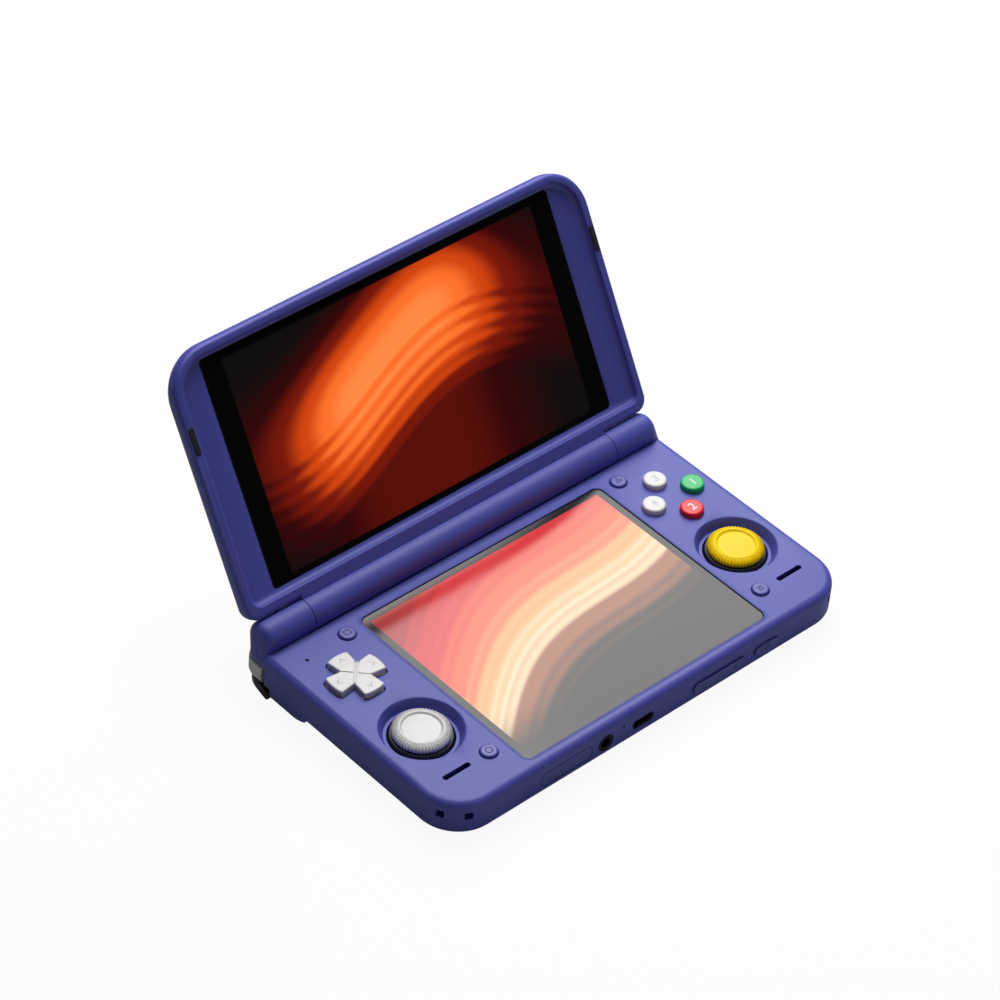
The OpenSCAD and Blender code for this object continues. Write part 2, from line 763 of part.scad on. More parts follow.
module lower_display_panel() {
    color([0.8, 0.3, 0.25]) translate([-lower_panel_w / 2, lower_glass_y0 + ledge + 0.4, lower_panel_z])
        cube([lower_panel_w, lower_panel_d, lower_panel_t]);
}

module mid_frame() {
    color([0.7, 0.7, 0.72]) difference() {
        translate([-lower_panel_w / 2, lower_glass_y0 + ledge + 0.4, frame_z])
            cube([lower_panel_w, lower_panel_d, frame_t]);
        for (x = [-30, 0, 30]) translate([x, lower_glass_y0 + lower_panel_d - 9, frame_z - 1])
            cylinder(r = 5, h = frame_t + 2);
    }
}

// ---- Inside the base ----

module main_board() {
    board_y0 = hump_front_y - main_board_d - 1;
    low = cavity_floor_z + main_board_rise;
    color([0.05, 0.3, 0.16]) {
        translate([-main_board_w / 2, board_y0, low]) cube([main_board_w, main_board_d, board_t]);
        translate([-processor.x + 2, board_y0 + 3, low - processor.z]) cube(processor);
        translate([8, board_y0 + 4, low - memory.z]) cube(memory);
        for (x = connector_xs) translate([x, board_y0 + 5, low + board_t]) cube(connector);
    }
}

module battery() {
    low = cavity_floor_z + 0.2;
    color([0.2, 0.2, 0.22]) plain_plate(battery_w / 2, front_y + battery_in,
        hump_front_y - main_board_d - 2.5, battery_r, low, low + battery_t);
}

module heat_sink() {
    low = cavity_floor_z + main_board_rise - processor.z - pipe_t;
    fins_w = (fin_count - 1) * fin_step + fin_t;
    color([0.72, 0.42, 0.26]) {
        translate([-processor.x, hump_front_y - 19.5, low])
            cube([processor.x + 4, processor.y + 3, pipe_t]);
        translate([-10, hump_front_y - 3, low]) cube([pipe_w, 22, pipe_t]);
        for (i = [0 : fin_count - 1]) translate([-14 + i * fin_step, fan_y - 1, low + pipe_t])
            cube([fin_t, fin_d, fin_h]);
        translate([-14, fan_y - 1, low]) cube([fins_w, fin_d, pipe_t]);
    }
}

module fan_housing() {
    color([0.1, 0.1, 0.11]) translate([fan_x, fan_y, fan_low_z]) difference() {
        union() {
            cylinder(r = fan_r, h = fan_h);
            translate([0, -fan_r + 4, 0]) cube([fan_r + 0.6, 2 * fan_r - 5, fan_h]);
        }
        translate([0, 0, fan_wall]) cylinder(r = fan_r - fan_wall, h = fan_h - 2 * fan_wall);
        translate([0, -fan_r + 4 + fan_wall, fan_wall])
            cube([fan_r + 2, 2 * fan_r - 5 - 2 * fan_wall, fan_h - 2 * fan_wall]);
        difference() {
            translate([0, 0, -1]) cylinder(r = fan_inlet_r, h = fan_wall + 2);
            translate([0, 0, -1]) cylinder(r = fan_hub_r + 0.4, h = 10);
            for (a = [0:120:240]) rotate(a) translate([0, -0.8, -1]) cube([12, 1.6, 10]);
        }
    }
    color([0.6, 0.6, 0.62]) translate([fan_x, fan_y, fan_low_z + fan_wall])
        cylinder(r = fan_post_r, h = fan_post_h);
}

module fan_impeller() {
    low = fan_low_z + fan_wall + 0.3;
    high = fan_h - 2 * fan_wall - 0.6;
    color([0.16, 0.16, 0.18]) translate([fan_x, fan_y, low]) difference() {
        union() {
            cylinder(r = fan_hub_r, h = high);
            for (i = [0:fan_blades - 1]) rotate(i * 360 / fan_blades)
                translate([fan_hub_r - 0.6, -fan_blade_t / 2, 0.2])
                rotate([0, 0, 14]) cube([fan_blade_len, fan_blade_t, high - 0.4]);
        }
        translate([0, 0, -1]) cylinder(r = fan_post_r + running_gap, h = fan_post_h + 0.9);
    }
}

module usb_c_port() {
    color([0.75, 0.75, 0.77]) difference() {
        translate([usb_x, 0, port_z]) slot_bar(usb_w, usb_h, front_y + 0.3, front_y + 7.6);
        translate([usb_x, 0, port_z]) slot_bar(usb_w - 0.6, usb_h - 0.6, front_y - 1, front_y + 6.6);
    }
    color([0.1, 0.1, 0.1]) translate([usb_x - usb_tongue.x / 2, front_y + 1.2, port_z - usb_tongue.z / 2])
        cube(usb_tongue + [0, over, 0]);
}

module headphone_jack() {
    color([0.08, 0.08, 0.09]) difference() {
        union() {
            translate([jack_x - jack_box.x / 2, front_y + wall + 0.1, port_z - jack_box.z / 2])
                cube(jack_box);
            translate([jack_x, front_y + 0.1, port_z]) rotate([-90, 0, 0])
                cylinder(r = jack_nose_r, h = wall + 0.2);
        }
        translate([jack_x, front_y - 1, port_z]) rotate([-90, 0, 0]) cylinder(r = jack_r, h = 13);
    }
}

module card_reader() {
    color([0.7, 0.7, 0.72]) difference() {
        translate([flap_x - reader_w / 2, front_y + wall + 0.6, port_z - 1.1])
            cube([reader_w, reader_d, reader_h]);
        translate([flap_x - reader_w / 2 + 1.4, front_y, port_z - 0.5])
            cube([reader_w - 2.8, wall + reader_d - 1, 0.8]);
    }
}

module port_board() {
    board_top = port_z - usb_h / 2;
    color([0.05, 0.3, 0.16]) {
        translate([jack_x + 5, front_y + 3.9, board_top - port_board_t])
            cube([power_x + 2.8 - jack_x - 5, port_board_d, port_board_t]);
        for (x = [volume_x - 8, volume_x + 8, power_x - 2.5])
            translate([x - switch_size.x / 2, front_y + 4.4, board_top]) cube(switch_size);
    }
}

module speaker(side) {
    color([0.12, 0.12, 0.13]) on_side(side) translate([0, 0, board_z + board_t + 0.2]) difference() {
        translate([speaker_x + speaker_box_out - speaker_box_w, speaker_cy - speaker_box_d / 2, 0])
            cube([speaker_box_w, speaker_box_d, cavity_top_z - board_z - board_t - 0.4]);
        translate([speaker_x - speaker_slot / 2 - 0.55, speaker_cy - 1.6, 2])
            cube([speaker_slot + 0.5, 3.2, 3]);
    }
}

// Side board under the pad, the buttons and the speaker, open round the stick
module control_board(side) {
    color([0.05, 0.3, 0.16]) on_side(side) difference() {
        translate([0, 0, board_z]) linear_extrude(board_t) polygon([
            [post_x + post_r + 0.3, front_y + 11], [half_w - 7.5, front_y + 13], [half_w - 3.4, front_y + 18],
            [half_w - 3.4, rear_y - 18], [half_w - 5, rear_y - 16.4], [post_x + post_r + 0.3, rear_y - 16.4]
        ]);
        translate([stick_x, stick_cy, board_z - 1]) cylinder(r = skirt_r + 1.2, h = board_t + 2);
    }
    if (side < 0) color([0.2, 0.2, 0.22]) translate([-pad_x, pad_cy, pad_pivot_z])
        saddle(board_z + board_t - over);
}

// Silicone mat between the board and the buttons, with a seat under each one
module button_mat(side) {
    mat_z = board_z + board_t;
    color([0.6, 0.6, 0.6]) on_side(side) difference() {
        union() {
            translate([control_cx - mat_in, 0, 0])
                plain_plate(mat_w / 2, pad_cy - mat_d / 2, pad_cy + mat_d / 2, 2, mat_z, mat_z + mat_t);
            if (side > 0) for (a = [0:90:270]) translate([face_x, pad_cy, mat_z]) rotate([0, 0, a])
                translate([face_pitch, 0, 0]) cylinder(r = mat_seat_r, h = mat_seat_t);
        }
        if (side < 0) translate([pad_x, pad_cy, mat_z - 1]) cylinder(r = pad_well_r + 0.3, h = 4);
    }
}

// Square box with rounded corners, and two ears for the gimbal's pins
module stick_housing(side) {
    low = cavity_floor_z + 0.1 - stick_pivot_z;
    high = -0.6;
    color([0.14, 0.14, 0.15]) on_side(side) translate([stick_x, stick_cy, stick_pivot_z]) difference() {
        union() {
            intersection() {
                translate([-housing_w / 2, -housing_w / 2, low]) cube([housing_w, housing_w, high - low]);
                translate([0, 0, low - 1]) cylinder(r = housing_corner_r, h = high - low + 2);
            }
            for (s = [-1, 1]) translate([s * (housing_w - ear_t) / 2 - ear_t / 2, -ear_w / 2, -1])
                cube([ear_t, ear_w, 1 + ear_top]);
        }
        sphere(r = gimbal_r + 0.3);
        x_cylinder(gimbal_pin_r + running_gap, -housing_w / 2 - 0.5, housing_w / 2 + 0.5);
    }
}

module stick_gimbal(side) {
    color([0.75, 0.75, 0.76]) on_side(side) translate([stick_x, stick_cy, stick_pivot_z]) {
        difference() {
            translate([0, 0, -gimbal_h / 2]) cylinder(r = gimbal_r - 0.1, h = gimbal_h);
            translate([0, 0, -gimbal_h]) cylinder(r = gimbal_ball_r + 0.5, h = 2 * gimbal_h);
            rotate([0, 0, 90]) x_cylinder(stem_pin_r + running_gap, -6, 6);
        }
        for (s = [-1, 1]) on_side(s) x_cylinder(gimbal_pin_r, gimbal_r - 0.5, housing_w / 2 - 0.1);
    }
}

module stick_stem(side) {
    color([0.2, 0.2, 0.21]) on_side(side) translate([stick_x, stick_cy, stick_pivot_z]) {
        sphere(r = gimbal_ball_r);
        cylinder(r = stem_r, h = stem_h);
        rotate([0, 0, 90]) x_cylinder(stem_pin_r, -gimbal_r + 0.3, gimbal_r - 0.3);
    }
}

// Socket under a stick cap that the stem slides up into when the stick is clicked
module stem_socket() {
    cylinder(r = stem_r + running_gap, h = stem_h + stick_click + 0.1);
}

// Round skirt that closes the hole in the dish at every tilt
module stick_skirt(side) {
    color([0.12, 0.12, 0.13]) on_side(side) translate([stick_x, stick_cy, stick_pivot_z]) difference() {
        union() {
            rotate_extrude() intersection() {
                difference() {
                    circle(r = skirt_r, $fn = 96);
                    circle(r = skirt_r - skirt_wall, $fn = 96);
                }
                translate([0, -skirt_low]) square([skirt_r + 1, cap_low + skirt_low]);
            }
            translate([0, 0, cap_low - skirt_rim_t]) cylinder(r = skirt_r - 1.7, h = skirt_rim_t);
        }
        translate([0, 0, cap_low - 2 * skirt_rim_t]) cylinder(r = skirt_open_r, h = 3 * skirt_rim_t);
    }
}

// Flat grip with a rolled edge and a dished middle one step down
module stick_cap(side) {
    color(side > 0 ? [0.95, 0.85, 0.1] : [0.93, 0.93, 0.93]) on_side(side)
        translate([stick_x, stick_cy, stick_pivot_z]) difference() {
        rotate_extrude() difference() {
            edge_section(cap_r, cap_low, stick_pivot_drop, 0.9, 1.4);
            translate([0, stick_pivot_drop - cap_step]) square([cap_ring_r, 1]);
            translate([0, stick_pivot_drop + cap_dish_r - cap_dish]) circle(r = cap_dish_r, $fn = 96);
        }
        stem_socket();
    }
}

// ---- Buttons ----

module direction_pad() {
    arms_low = cavity_top_z - 1.6;
    arms_high = top_z + pad_rise;
    color([0.93, 0.93, 0.93]) translate([-pad_x, pad_cy, 0]) difference() {
        union() {
            translate([0, 0, arms_low]) linear_extrude(arms_high - pad_crown - arms_low) pad_outline(0);
            translate([0, 0, arms_high - pad_crown - over]) linear_extrude(pad_crown + over)
                pad_outline(-0.3);
            translate([0, 0, pad_pivot_z]) cylinder(r = pad_span / 2 + pad_flange_out, h = pad_flange_t);
        }
        for (a = [45, 135]) translate([0, 0, arms_high]) rotate([0, 0, a])
            cube([pad_crease_len, pad_crease_w, pad_crease_w], center = true);
        translate([0, 0, pad_pivot_z - 1]) cylinder(r = pad_well_r, h = pad_well_top - pad_pivot_z + 1);
    }
    color([0.93, 0.93, 0.93]) translate([-pad_x, pad_cy, pad_pivot_z]) rotate([0, 0, 90])
        saddle(pad_well_top + over);
}

// Two ears with a bore through both, hanging from or standing on a floor at height z
module saddle(z) {
    low = min(z - pad_pivot_z, -pad_pin_r - 0.5);
    high = max(z - pad_pivot_z, pad_pin_r + 0.5);
    difference() {
        for (side = [-1, 1]) translate([side * pad_ear_x - pad_ear_t / 2, -pad_pin_r - 0.6, low])
            cube([pad_ear_t, 2 * pad_pin_r + 1.2, high - low]);
        x_cylinder(pad_pin_r + running_gap, -5, 5);
    }
}

// Cross of four pins on a square hub: two lie in the board's saddle, two carry the direction pad
module pad_rocker() {
    color([0.3, 0.3, 0.32]) translate([-pad_x, pad_cy, pad_pivot_z]) {
        cube(pad_hub, center = true);
        for (a = [0 : 90 : 270]) rotate([0, 0, a]) x_cylinder(pad_pin_r, pad_hub / 2 - over, pad_ear_x + 0.6);
    }
}

module round_button(d, rise, crown) {
    low = cavity_top_z - flange_gap - flange_t;
    rotate_extrude() edge_section(d / 2, low, top_z + rise, 0, crown);
    translate([0, 0, low]) cylinder(r = d / 2 + 0.8, h = flange_t);
}

module face_button(angle) {
    translate([face_x, pad_cy, 0]) rotate([0, 0, angle]) translate([face_pitch, 0, 0])
        round_button(face_d, face_rise, 0.6);
}

module small_button(side, row) {
    color([0.3, 0.3, 0.6]) translate([side * small_x, small_ys[row], 0])
        round_button(small_d, small_rise, 0.5);
}

module edge_bar(x, len) {
    translate([x, 0, port_z]) {
        slot_bar(len, edge_button_h, front_y - edge_button_out, front_y + wall + 0.5);
        slot_bar(len + 1.6, edge_button_h + 1.2, front_y + wall + 0.45, front_y + wall + 1.3);
    }
}

// Long bar that rocks on a round rib at its middle
module volume_rocker() {
    color([0.3, 0.3, 0.6]) {
        edge_bar(volume_x, volume_len);
        translate([volume_x, front_y + wall + 0.8, port_z - edge_button_h / 2 - 0.6])
            cylinder(r = 0.65, h = edge_button_h + 1.2);
    }
}

// Round-ended bar with a square lower edge, so that the flap can turn on its pins
module flap_form(grow, y0, y1) {
    foot = flap_len / 2 - 0.6 + grow;
    slot_bar(flap_len + 2 * grow, flap_h + 2 * grow, y0, y1);
    translate([-foot, y0, -flap_h / 2 - grow]) cube([2 * foot, y1 - y0, 1.5 + grow]);
}

module at_flap() {
    translate([flap_x, front_y + 0.4, port_z - flap_h / 2 + 0.4]) children();
}

module card_flap() {
    color([0.3, 0.3, 0.6]) {
        translate([flap_x, 0, port_z]) flap_form(0, front_y + 0.02, front_y + flap_t);
        at_flap() x_cylinder(flap_pin_r, -flap_pin_x, flap_pin_x);
    }
}

module shoulder_pin(grow) {
    translate([shoulder_x + 1.8, rear_y - 2.2, shoulder_top_z - 1])
        cylinder(r = 0.7 + grow, h = 1.8 + grow);
}

module shoulder_section(r) {
    difference() {
        edge_section(r + shoulder_out, shoulder_bot_z, shoulder_top_z, 1.4, 1.2);
        translate([-1, shoulder_bot_z - 1]) square([r - shoulder_t + 1, shoulder_h + 2]);
    }
}

// Bumper that wraps the rear corner, pinned at its inner end
module shoulder_button(side) {
    r = rear_corner_r;
    color([0.93, 0.93, 0.93]) on_side(side) {
        translate([half_w - r, rear_y - r, 0]) {
            rotate_extrude(angle = 90) shoulder_section(r);
            rotate([90, 0, 0]) linear_extrude(rear_y - r - shoulder_side_y) shoulder_section(r);
        }
        translate([half_w - r, rear_y - r, 0]) rotate([90, 0, 90]) mirror([0, 0, 1])
            linear_extrude(half_w - r - shoulder_x) shoulder_section(r);
        shoulder_pin(0);
    }
}

module trigger_pins(grow) {
    translate([0, trigger_pivot_y, trigger_pivot_z])
        x_cylinder(trigger_pin_r + grow, trigger_in_x - 1.6 - grow, trigger_in_x + 3);
}

// Side view of a trigger: a paddle with three rolled corners
module trigger_profile() {
    hull() {
        translate([rear_y - 11.9, hump_floor_z + 1.7]) circle(r = 1.6, $fn = 40);
        translate([rear_y - 2.6, trigger_top_z - 1.35]) circle(r = 1.3, $fn = 40);
        translate([trigger_pivot_y, trigger_pivot_z]) circle(r = 1.4, $fn = 40);
    }
}

// Curved paddle under the slanted tail, round in plan at its outer end
module trigger(side) {
    color([0.1, 0.1, 0.11]) on_side(side) {
        intersection() {
            translate([trigger_in_x, 0, 0]) rotate([90, 0, 90]) linear_extrude(trigger_w) trigger_profile();
            plain_plate(trigger_in_x + trigger_w, rear_y - 30, rear_y - 1.2, trigger_end_r, 0, top_z);
        }
        trigger_pins(0);
    }
}

module rubber_feet() {
    color([0.08, 0.08, 0.08]) {
        slot_foot(0, 0, rear_foot_len, 0, rear_foot_h);
        low = front_floor_z - front_foot_h;
        for (side = [-1, 1])
            slot_foot(side * front_foot_x, front_y + front_foot_in, front_foot_len, low, front_foot_h);
    }
}

module slot_foot(x, y, len, low, high) {
    translate([x, y, low]) linear_extrude(high) union() {
        for (s = [-1, 1]) translate([s * (len - foot_d) / 2, 0]) circle(foot_d / 2);
        square([len - foot_d, foot_d], center = true);
    }
}

module case_screws() {
    color([0.15, 0.15, 0.16]) {
        screw_posts(front_floor_z + 0.1, front_floor_z + screw_len, screw_r);
        difference() {
            screw_posts(front_floor_z + 0.05, front_floor_z + 0.05 + screw_head_h, screw_head_r);
            for (side = [-1, 1], y = post_ys) translate([side * post_x, y, front_floor_z]) {
                cube([1.6, 0.45, 0.7], center = true);
                cube([0.45, 1.6, 0.7], center = true);
            }
        }
    }
}

// ---- Hinge and lid ----

module hinge_cartridge(side) {
    color([0.6, 0.6, 0.62]) on_side(side) at_hinge() {
        x_cylinder(cartridge_r - fit_gap, seam_x + seam_gap / 2 + 0.1, seam_x + cartridge_len);
        x_cylinder(shaft_r, seam_x - shaft_len + 0.5, seam_x + 1);
    }
}

module cable_slot(grow) {
    translate([-cable_w / 2 - grow, -0.8 - grow, -cable_drop - grow])
        cube([cable_w + 2 * grow, cable_len + grow, cable_t + 2 * grow]);
}

module hinge_barrel() {
    color([0.36, 0.36, 0.66]) in_lid() difference() {
        x_cylinder(barrel_r, -seam_x + seam_gap / 2, seam_x - seam_gap / 2);
        x_cylinder(3.4, -seam_x + shaft_len + 1, seam_x - shaft_len - 1);
        both_sides() x_cylinder(shaft_r + running_gap, seam_x - shaft_len - 2, seam_x + 1);
        cable_slot(0.3);
    }
}

// Cut for the tray round the upper glass: soft inner walls and a rounded crest
module tray_cut() {
    w = half_w - rim_side_w;
    y0 = lid_heel_v + rim_heel_w;
    y1 = lid_reach - rim_top_w;
    soft_plate(w, y0, y1, tray_heel_r, tray_corner_r, tray_floor_z, crest_z + 1, tray_round, 0,
        crest_round, crest_z);
}

module upper_glass_plate(grow, low, high) {
    plain_plate(upper_glass_w / 2 + grow, upper_glass_v - grow, upper_glass_v + upper_glass_h + grow,
        upper_corner_r + grow, low, high);
}

// Root of the lid between the seams, which meets the barrel face to face
module lid_root(v, low, high) {
    difference() {
        translate([-seam_x + seam_gap / 2, v, low])
            cube([2 * seam_x - seam_gap, lid_heel_v + 3 - v, high - low]);
        x_cylinder(barrel_r, -seam_x, seam_x);
    }
}

module bumper_pad(grow, low, high) {
    x = half_w - rim_side_w + crest_round + 0.8;
    both_sides() translate([x, bumper_v, low]) linear_extrude(high - low) union() {
        for (s = [-1, 1]) translate([0, s * (bumper_len / 2 - 1)]) circle(1 + grow);
        translate([-1 - grow, -bumper_len / 2 + 1]) square([2 + 2 * grow, bumper_len - 2]);
    }
}

module lid_front_bezel() {
    color([0.36, 0.36, 0.66]) in_lid() difference() {
        union() {
            soft_plate(half_w, lid_heel_v, lid_reach, lid_heel_r, lid_corner_r,
                lid_split_z, crest_z, 0, lid_rim_r);
            lid_root(3, lid_split_z, crest_z);
            lid_hollow(lid_wall + 0.15, tray_floor_z - bezel_t, lid_split_z + over);
        }
        tray_cut();
        upper_glass_plate(glass_gap, glass_face_z - upper_glass_t, crest_z);
        translate([0, 0, tray_floor_z - 3]) linear_extrude(4)
            translate([-upper_glass_w / 2 + upper_ledge, upper_glass_v + 1.4])
            square([upper_glass_w - 2 * upper_ledge, upper_glass_h - 2.8]);
        bumper_pad(0.12, crest_z - 1, crest_z + 1);
    }
}

// Room inside the lid's back shell at one distance from its outline
module lid_hollow(inset, low, high) {
    soft_plate(half_w - inset, lid_heel_v + inset, lid_reach - inset,
        lid_heel_r - inset, lid_corner_r - inset, low, high);
}

module lid_back_cover() {
    color([0.33, 0.33, 0.62]) in_lid() difference() {
        union() {
            soft_plate(half_w, lid_heel_v, lid_reach, lid_heel_r, lid_corner_r,
                lid_back_z, lid_split_z, lid_back_r, 0);
            lid_root(2.2, lid_back_z, lid_split_z);
        }
        lid_hollow(lid_wall, lid_seat_z, lid_split_z + 1);
        lid_hollow(lid_wall + 0.9, lid_back_z + lid_floor_t, lid_seat_z + over);
        cable_slot(0.3);
    }
}

module upper_cover_glass() {
    color([0.02, 0.02, 0.02]) in_lid() upper_glass_plate(0, glass_face_z - upper_glass_t, glass_face_z);
}

module upper_display_panel() {
    color([0.7, 0.2, 0.1]) in_lid() translate([-upper_glass_w / 2 + upper_ledge + 0.3, upper_glass_v + 1.7,
        glass_face_z - upper_glass_t - upper_panel_t])
        cube([upper_glass_w - 2 * upper_ledge - 0.6, upper_glass_h - 3.4, upper_panel_t]);
}

module lid_bumpers() {
    color([0.06, 0.06, 0.06]) in_lid() bumper_pad(0, crest_z - 1, crest_z + 0.25);
}

module lid_board() {
    color([0.05, 0.3, 0.16]) in_lid()
        translate([-lid_board_w / 2, upper_glass_v - 2.4, lid_back_z + lid_floor_t + 0.3])
        cube([lid_board_w, lid_board_d, lid_board_t]);
}

module display_cable() {
    color([0.75, 0.5, 0.1]) in_lid() cable_slot(0);
}

upper_case();
lower_case();
lower_cover_glass();
lower_display_panel();
mid_frame();
main_board();
battery();
heat_sink();
fan_housing();
fan_impeller();
exhaust_grille();
usb_c_port();
headphone_jack();
card_reader();
speaker(-1);  // left_speaker
speaker(1);  // right_speaker
stick_housing(-1);  // left_stick_housing
stick_housing(1);  // right_stick_housing
stick_gimbal(-1);  // left_stick_gimbal
stick_gimbal(1);  // right_stick_gimbal
stick_stem(-1);  // left_stick_stem
stick_stem(1);  // right_stick_stem
stick_skirt(-1);  // left_stick_skirt
stick_skirt(1);  // right_stick_skirt
stick_cap(-1);  // left_stick_cap
stick_cap(1);  // right_stick_cap
control_board(-1);  // left_control_board
control_board(1);  // right_control_board
button_mat(-1);  // left_button_mat
button_mat(1);  // right_button_mat
port_board();
direction_pad();
pad_rocker();
color([0.9, 0.15, 0.15]) face_button(270);  // face_button_front
color([0.93, 0.93, 0.93]) face_button(90);  // face_button_rear
color([0.93, 0.93, 0.93]) face_button(180);  // face_button_left
color([0.1, 0.75, 0.35]) face_button(0);  // face_button_right
small_button(-1, 0);  // small_button_rear_left
small_button(1, 0);  // small_button_rear_right
small_button(-1, 1);  // small_button_front_left
small_button(1, 1);  // small_button_front_right
color([0.3, 0.3, 0.6]) edge_bar(power_x, power_len);  // power_button
volume_rocker();
shoulder_button(-1);  // left_shoulder_button
shoulder_button(1);  // right_shoulder_button
trigger(-1);  // left_trigger
trigger(1);  // right_trigger
card_flap();
rubber_feet();
case_screws();
hinge_cartridge(-1);  // left_hinge_cartridge
hinge_cartridge(1);  // right_hinge_cartridge
hinge_barrel();
lid_front_bezel();
lid_back_cover();
upper_cover_glass();
upper_display_panel();
lid_bumpers();
lid_board();
display_cable();
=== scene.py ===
import json
import math

import bmesh
import bpy
from mathutils import Matrix, Vector


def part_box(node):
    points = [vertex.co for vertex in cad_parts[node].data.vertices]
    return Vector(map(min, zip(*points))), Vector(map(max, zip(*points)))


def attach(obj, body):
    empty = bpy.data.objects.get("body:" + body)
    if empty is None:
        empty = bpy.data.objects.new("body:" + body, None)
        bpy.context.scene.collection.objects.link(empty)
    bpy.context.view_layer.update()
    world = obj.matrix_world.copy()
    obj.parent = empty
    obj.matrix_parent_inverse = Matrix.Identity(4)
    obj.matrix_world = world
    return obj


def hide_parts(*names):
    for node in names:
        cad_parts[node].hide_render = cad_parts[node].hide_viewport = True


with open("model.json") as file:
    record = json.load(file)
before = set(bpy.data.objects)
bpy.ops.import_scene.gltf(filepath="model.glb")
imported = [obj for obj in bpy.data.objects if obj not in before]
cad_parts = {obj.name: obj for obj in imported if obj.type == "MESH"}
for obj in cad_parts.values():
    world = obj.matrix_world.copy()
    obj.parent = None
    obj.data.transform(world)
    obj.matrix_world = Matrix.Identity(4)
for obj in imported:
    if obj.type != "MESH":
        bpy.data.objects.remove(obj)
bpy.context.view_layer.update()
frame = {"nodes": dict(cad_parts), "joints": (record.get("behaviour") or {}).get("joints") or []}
nodes = frame["nodes"]

# ---------------------------------------------------------------- view and light
# The console stands on a pale table with its lid open, seen from the front left
# and above. Its front feet are higher than the rear one, so it rests nose down.

eye = bpy.data.cameras.new("view")
eye.lens = 139.88
eye.sensor_width = 36
eye.clip_start = 0.05
camera = bpy.data.objects.new("view", eye)
camera.matrix_world = Matrix((
    (0.7388, 0.4070, -0.5371, -0.68282),
    (-0.6706, 0.5223, -0.5267, -0.67630),
    (0.0662, 0.7494, 0.6588, 0.88445),
    (0, 0, 0, 1),
))
bpy.context.scene.collection.objects.link(camera)
bpy.context.scene.camera = camera

scene = bpy.context.scene
scene.view_settings.view_transform = "Standard"


def new_material(name):
    material = bpy.data.materials.new(name)
    material.use_nodes = True
    return material, material.node_tree, material.node_tree.nodes["Principled BSDF"]


# The camera sees a white ground and backdrop, but the glass mirrors a dim studio.
def seen_by_camera(tree, usual, seen, share, output):
    path = tree.nodes.new("ShaderNodeLightPath")
    part = tree.nodes.new("ShaderNodeMath")
    part.operation = "MULTIPLY"
    part.inputs[1].default_value = share
    blend = tree.nodes.new("ShaderNodeMixShader")
    tree.links.new(path.outputs["Is Camera Ray"], part.inputs[0])
    tree.links.new(part.outputs[0], blend.inputs[0])
    tree.links.new(usual.outputs[0], blend.inputs[1])
    tree.links.new(seen.outputs[0], blend.inputs[2])
    tree.links.new(blend.outputs[0], tree.nodes[output].inputs["Surface"])


table_reach = 4
front_foot_lift, foot_span = 4.0, 73.4
rear_foot_y, foot_gap = -0.0025, 0.00002
nose_down = Matrix.Rotation(-math.atan(front_foot_lift / foot_span), 3, "X")
table_mesh = bmesh.new()
bmesh.ops.create_grid(table_mesh, x_segments=1, y_segments=1, size=table_reach)
bmesh.ops.rotate(table_mesh, verts=table_mesh.verts, cent=(0, 0, 0), matrix=nose_down)
bmesh.ops.translate(table_mesh, verts=table_mesh.verts, vec=(0, rear_foot_y, -foot_gap))
table_data = bpy.data.meshes.new("table_top")
table_mesh.to_mesh(table_data)
table_mesh.free()
table_top = bpy.data.objects.new("table_top", table_data)
scene.collection.objects.link(table_top)

table_paint, tree, table_skin = new_material("table_paint")
table_skin.inputs["Base Color"].default_value = (0.50, 0.50, 0.50, 1)
table_skin.inputs["Roughness"].default_value = 0.9
glow = tree.nodes.new("ShaderNodeEmission")
glow.inputs["Strength"].default_value = 1.06
glow_share = 0.88
seen_by_camera(tree, table_skin, glow, glow_share, "Material Output")
table_data.materials.append(table_paint)

studio = bpy.data.worlds.new("studio")
studio.use_nodes = True
tree = studio.node_tree
air = tree.nodes["Background"]
air.inputs["Strength"].default_value = 0.15
backdrop = tree.nodes.new("ShaderNodeBackground")
backdrop.inputs["Color"].default_value = (1, 1, 1, 1)
backdrop.inputs["Strength"].default_value = 1.0
seen_by_camera(tree, air, backdrop, 1.0, "World Output")
scene.world = studio


def softbox(name, place, aim, size, power):
    light = bpy.data.lights.new(name, "AREA")
    light.shape = "DISK"
    light.size = size
    light.energy = power
    lamp = bpy.data.objects.new(name, light)
    lamp.location = place
    lamp.rotation_euler = (Vector(aim) - Vector(place)).to_track_quat("-Z", "Y").to_euler()
    scene.collection.objects.link(lamp)


softbox("overhead", place=(0.22, 0.28, 1.05), aim=(0, 0, 0.03), size=0.9, power=9.8)
softbox("rear_right", place=(0.44, 0.36, 0.50), aim=(0.03, -0.03, 0.02), size=0.5, power=2.8)
softbox("front_fill", place=(-0.08, -1.0, 0.24), aim=(0, 0, 0.02), size=0.5, power=0.62)

# ---------------------------------------------------------------- moulded shells
# Five injection-moulded casings in indigo ABS with a fine spark-eroded skin: the
# base's upper and lower halves, the lid's bezel and back, and the hinge barrel.
# They are screwed and glued together round the boards and the screens.

shell_edge = 0.00012
sharp_angle = math.radians(32)
flat_angle = math.radians(0.6)
weld_gap = 0.000002


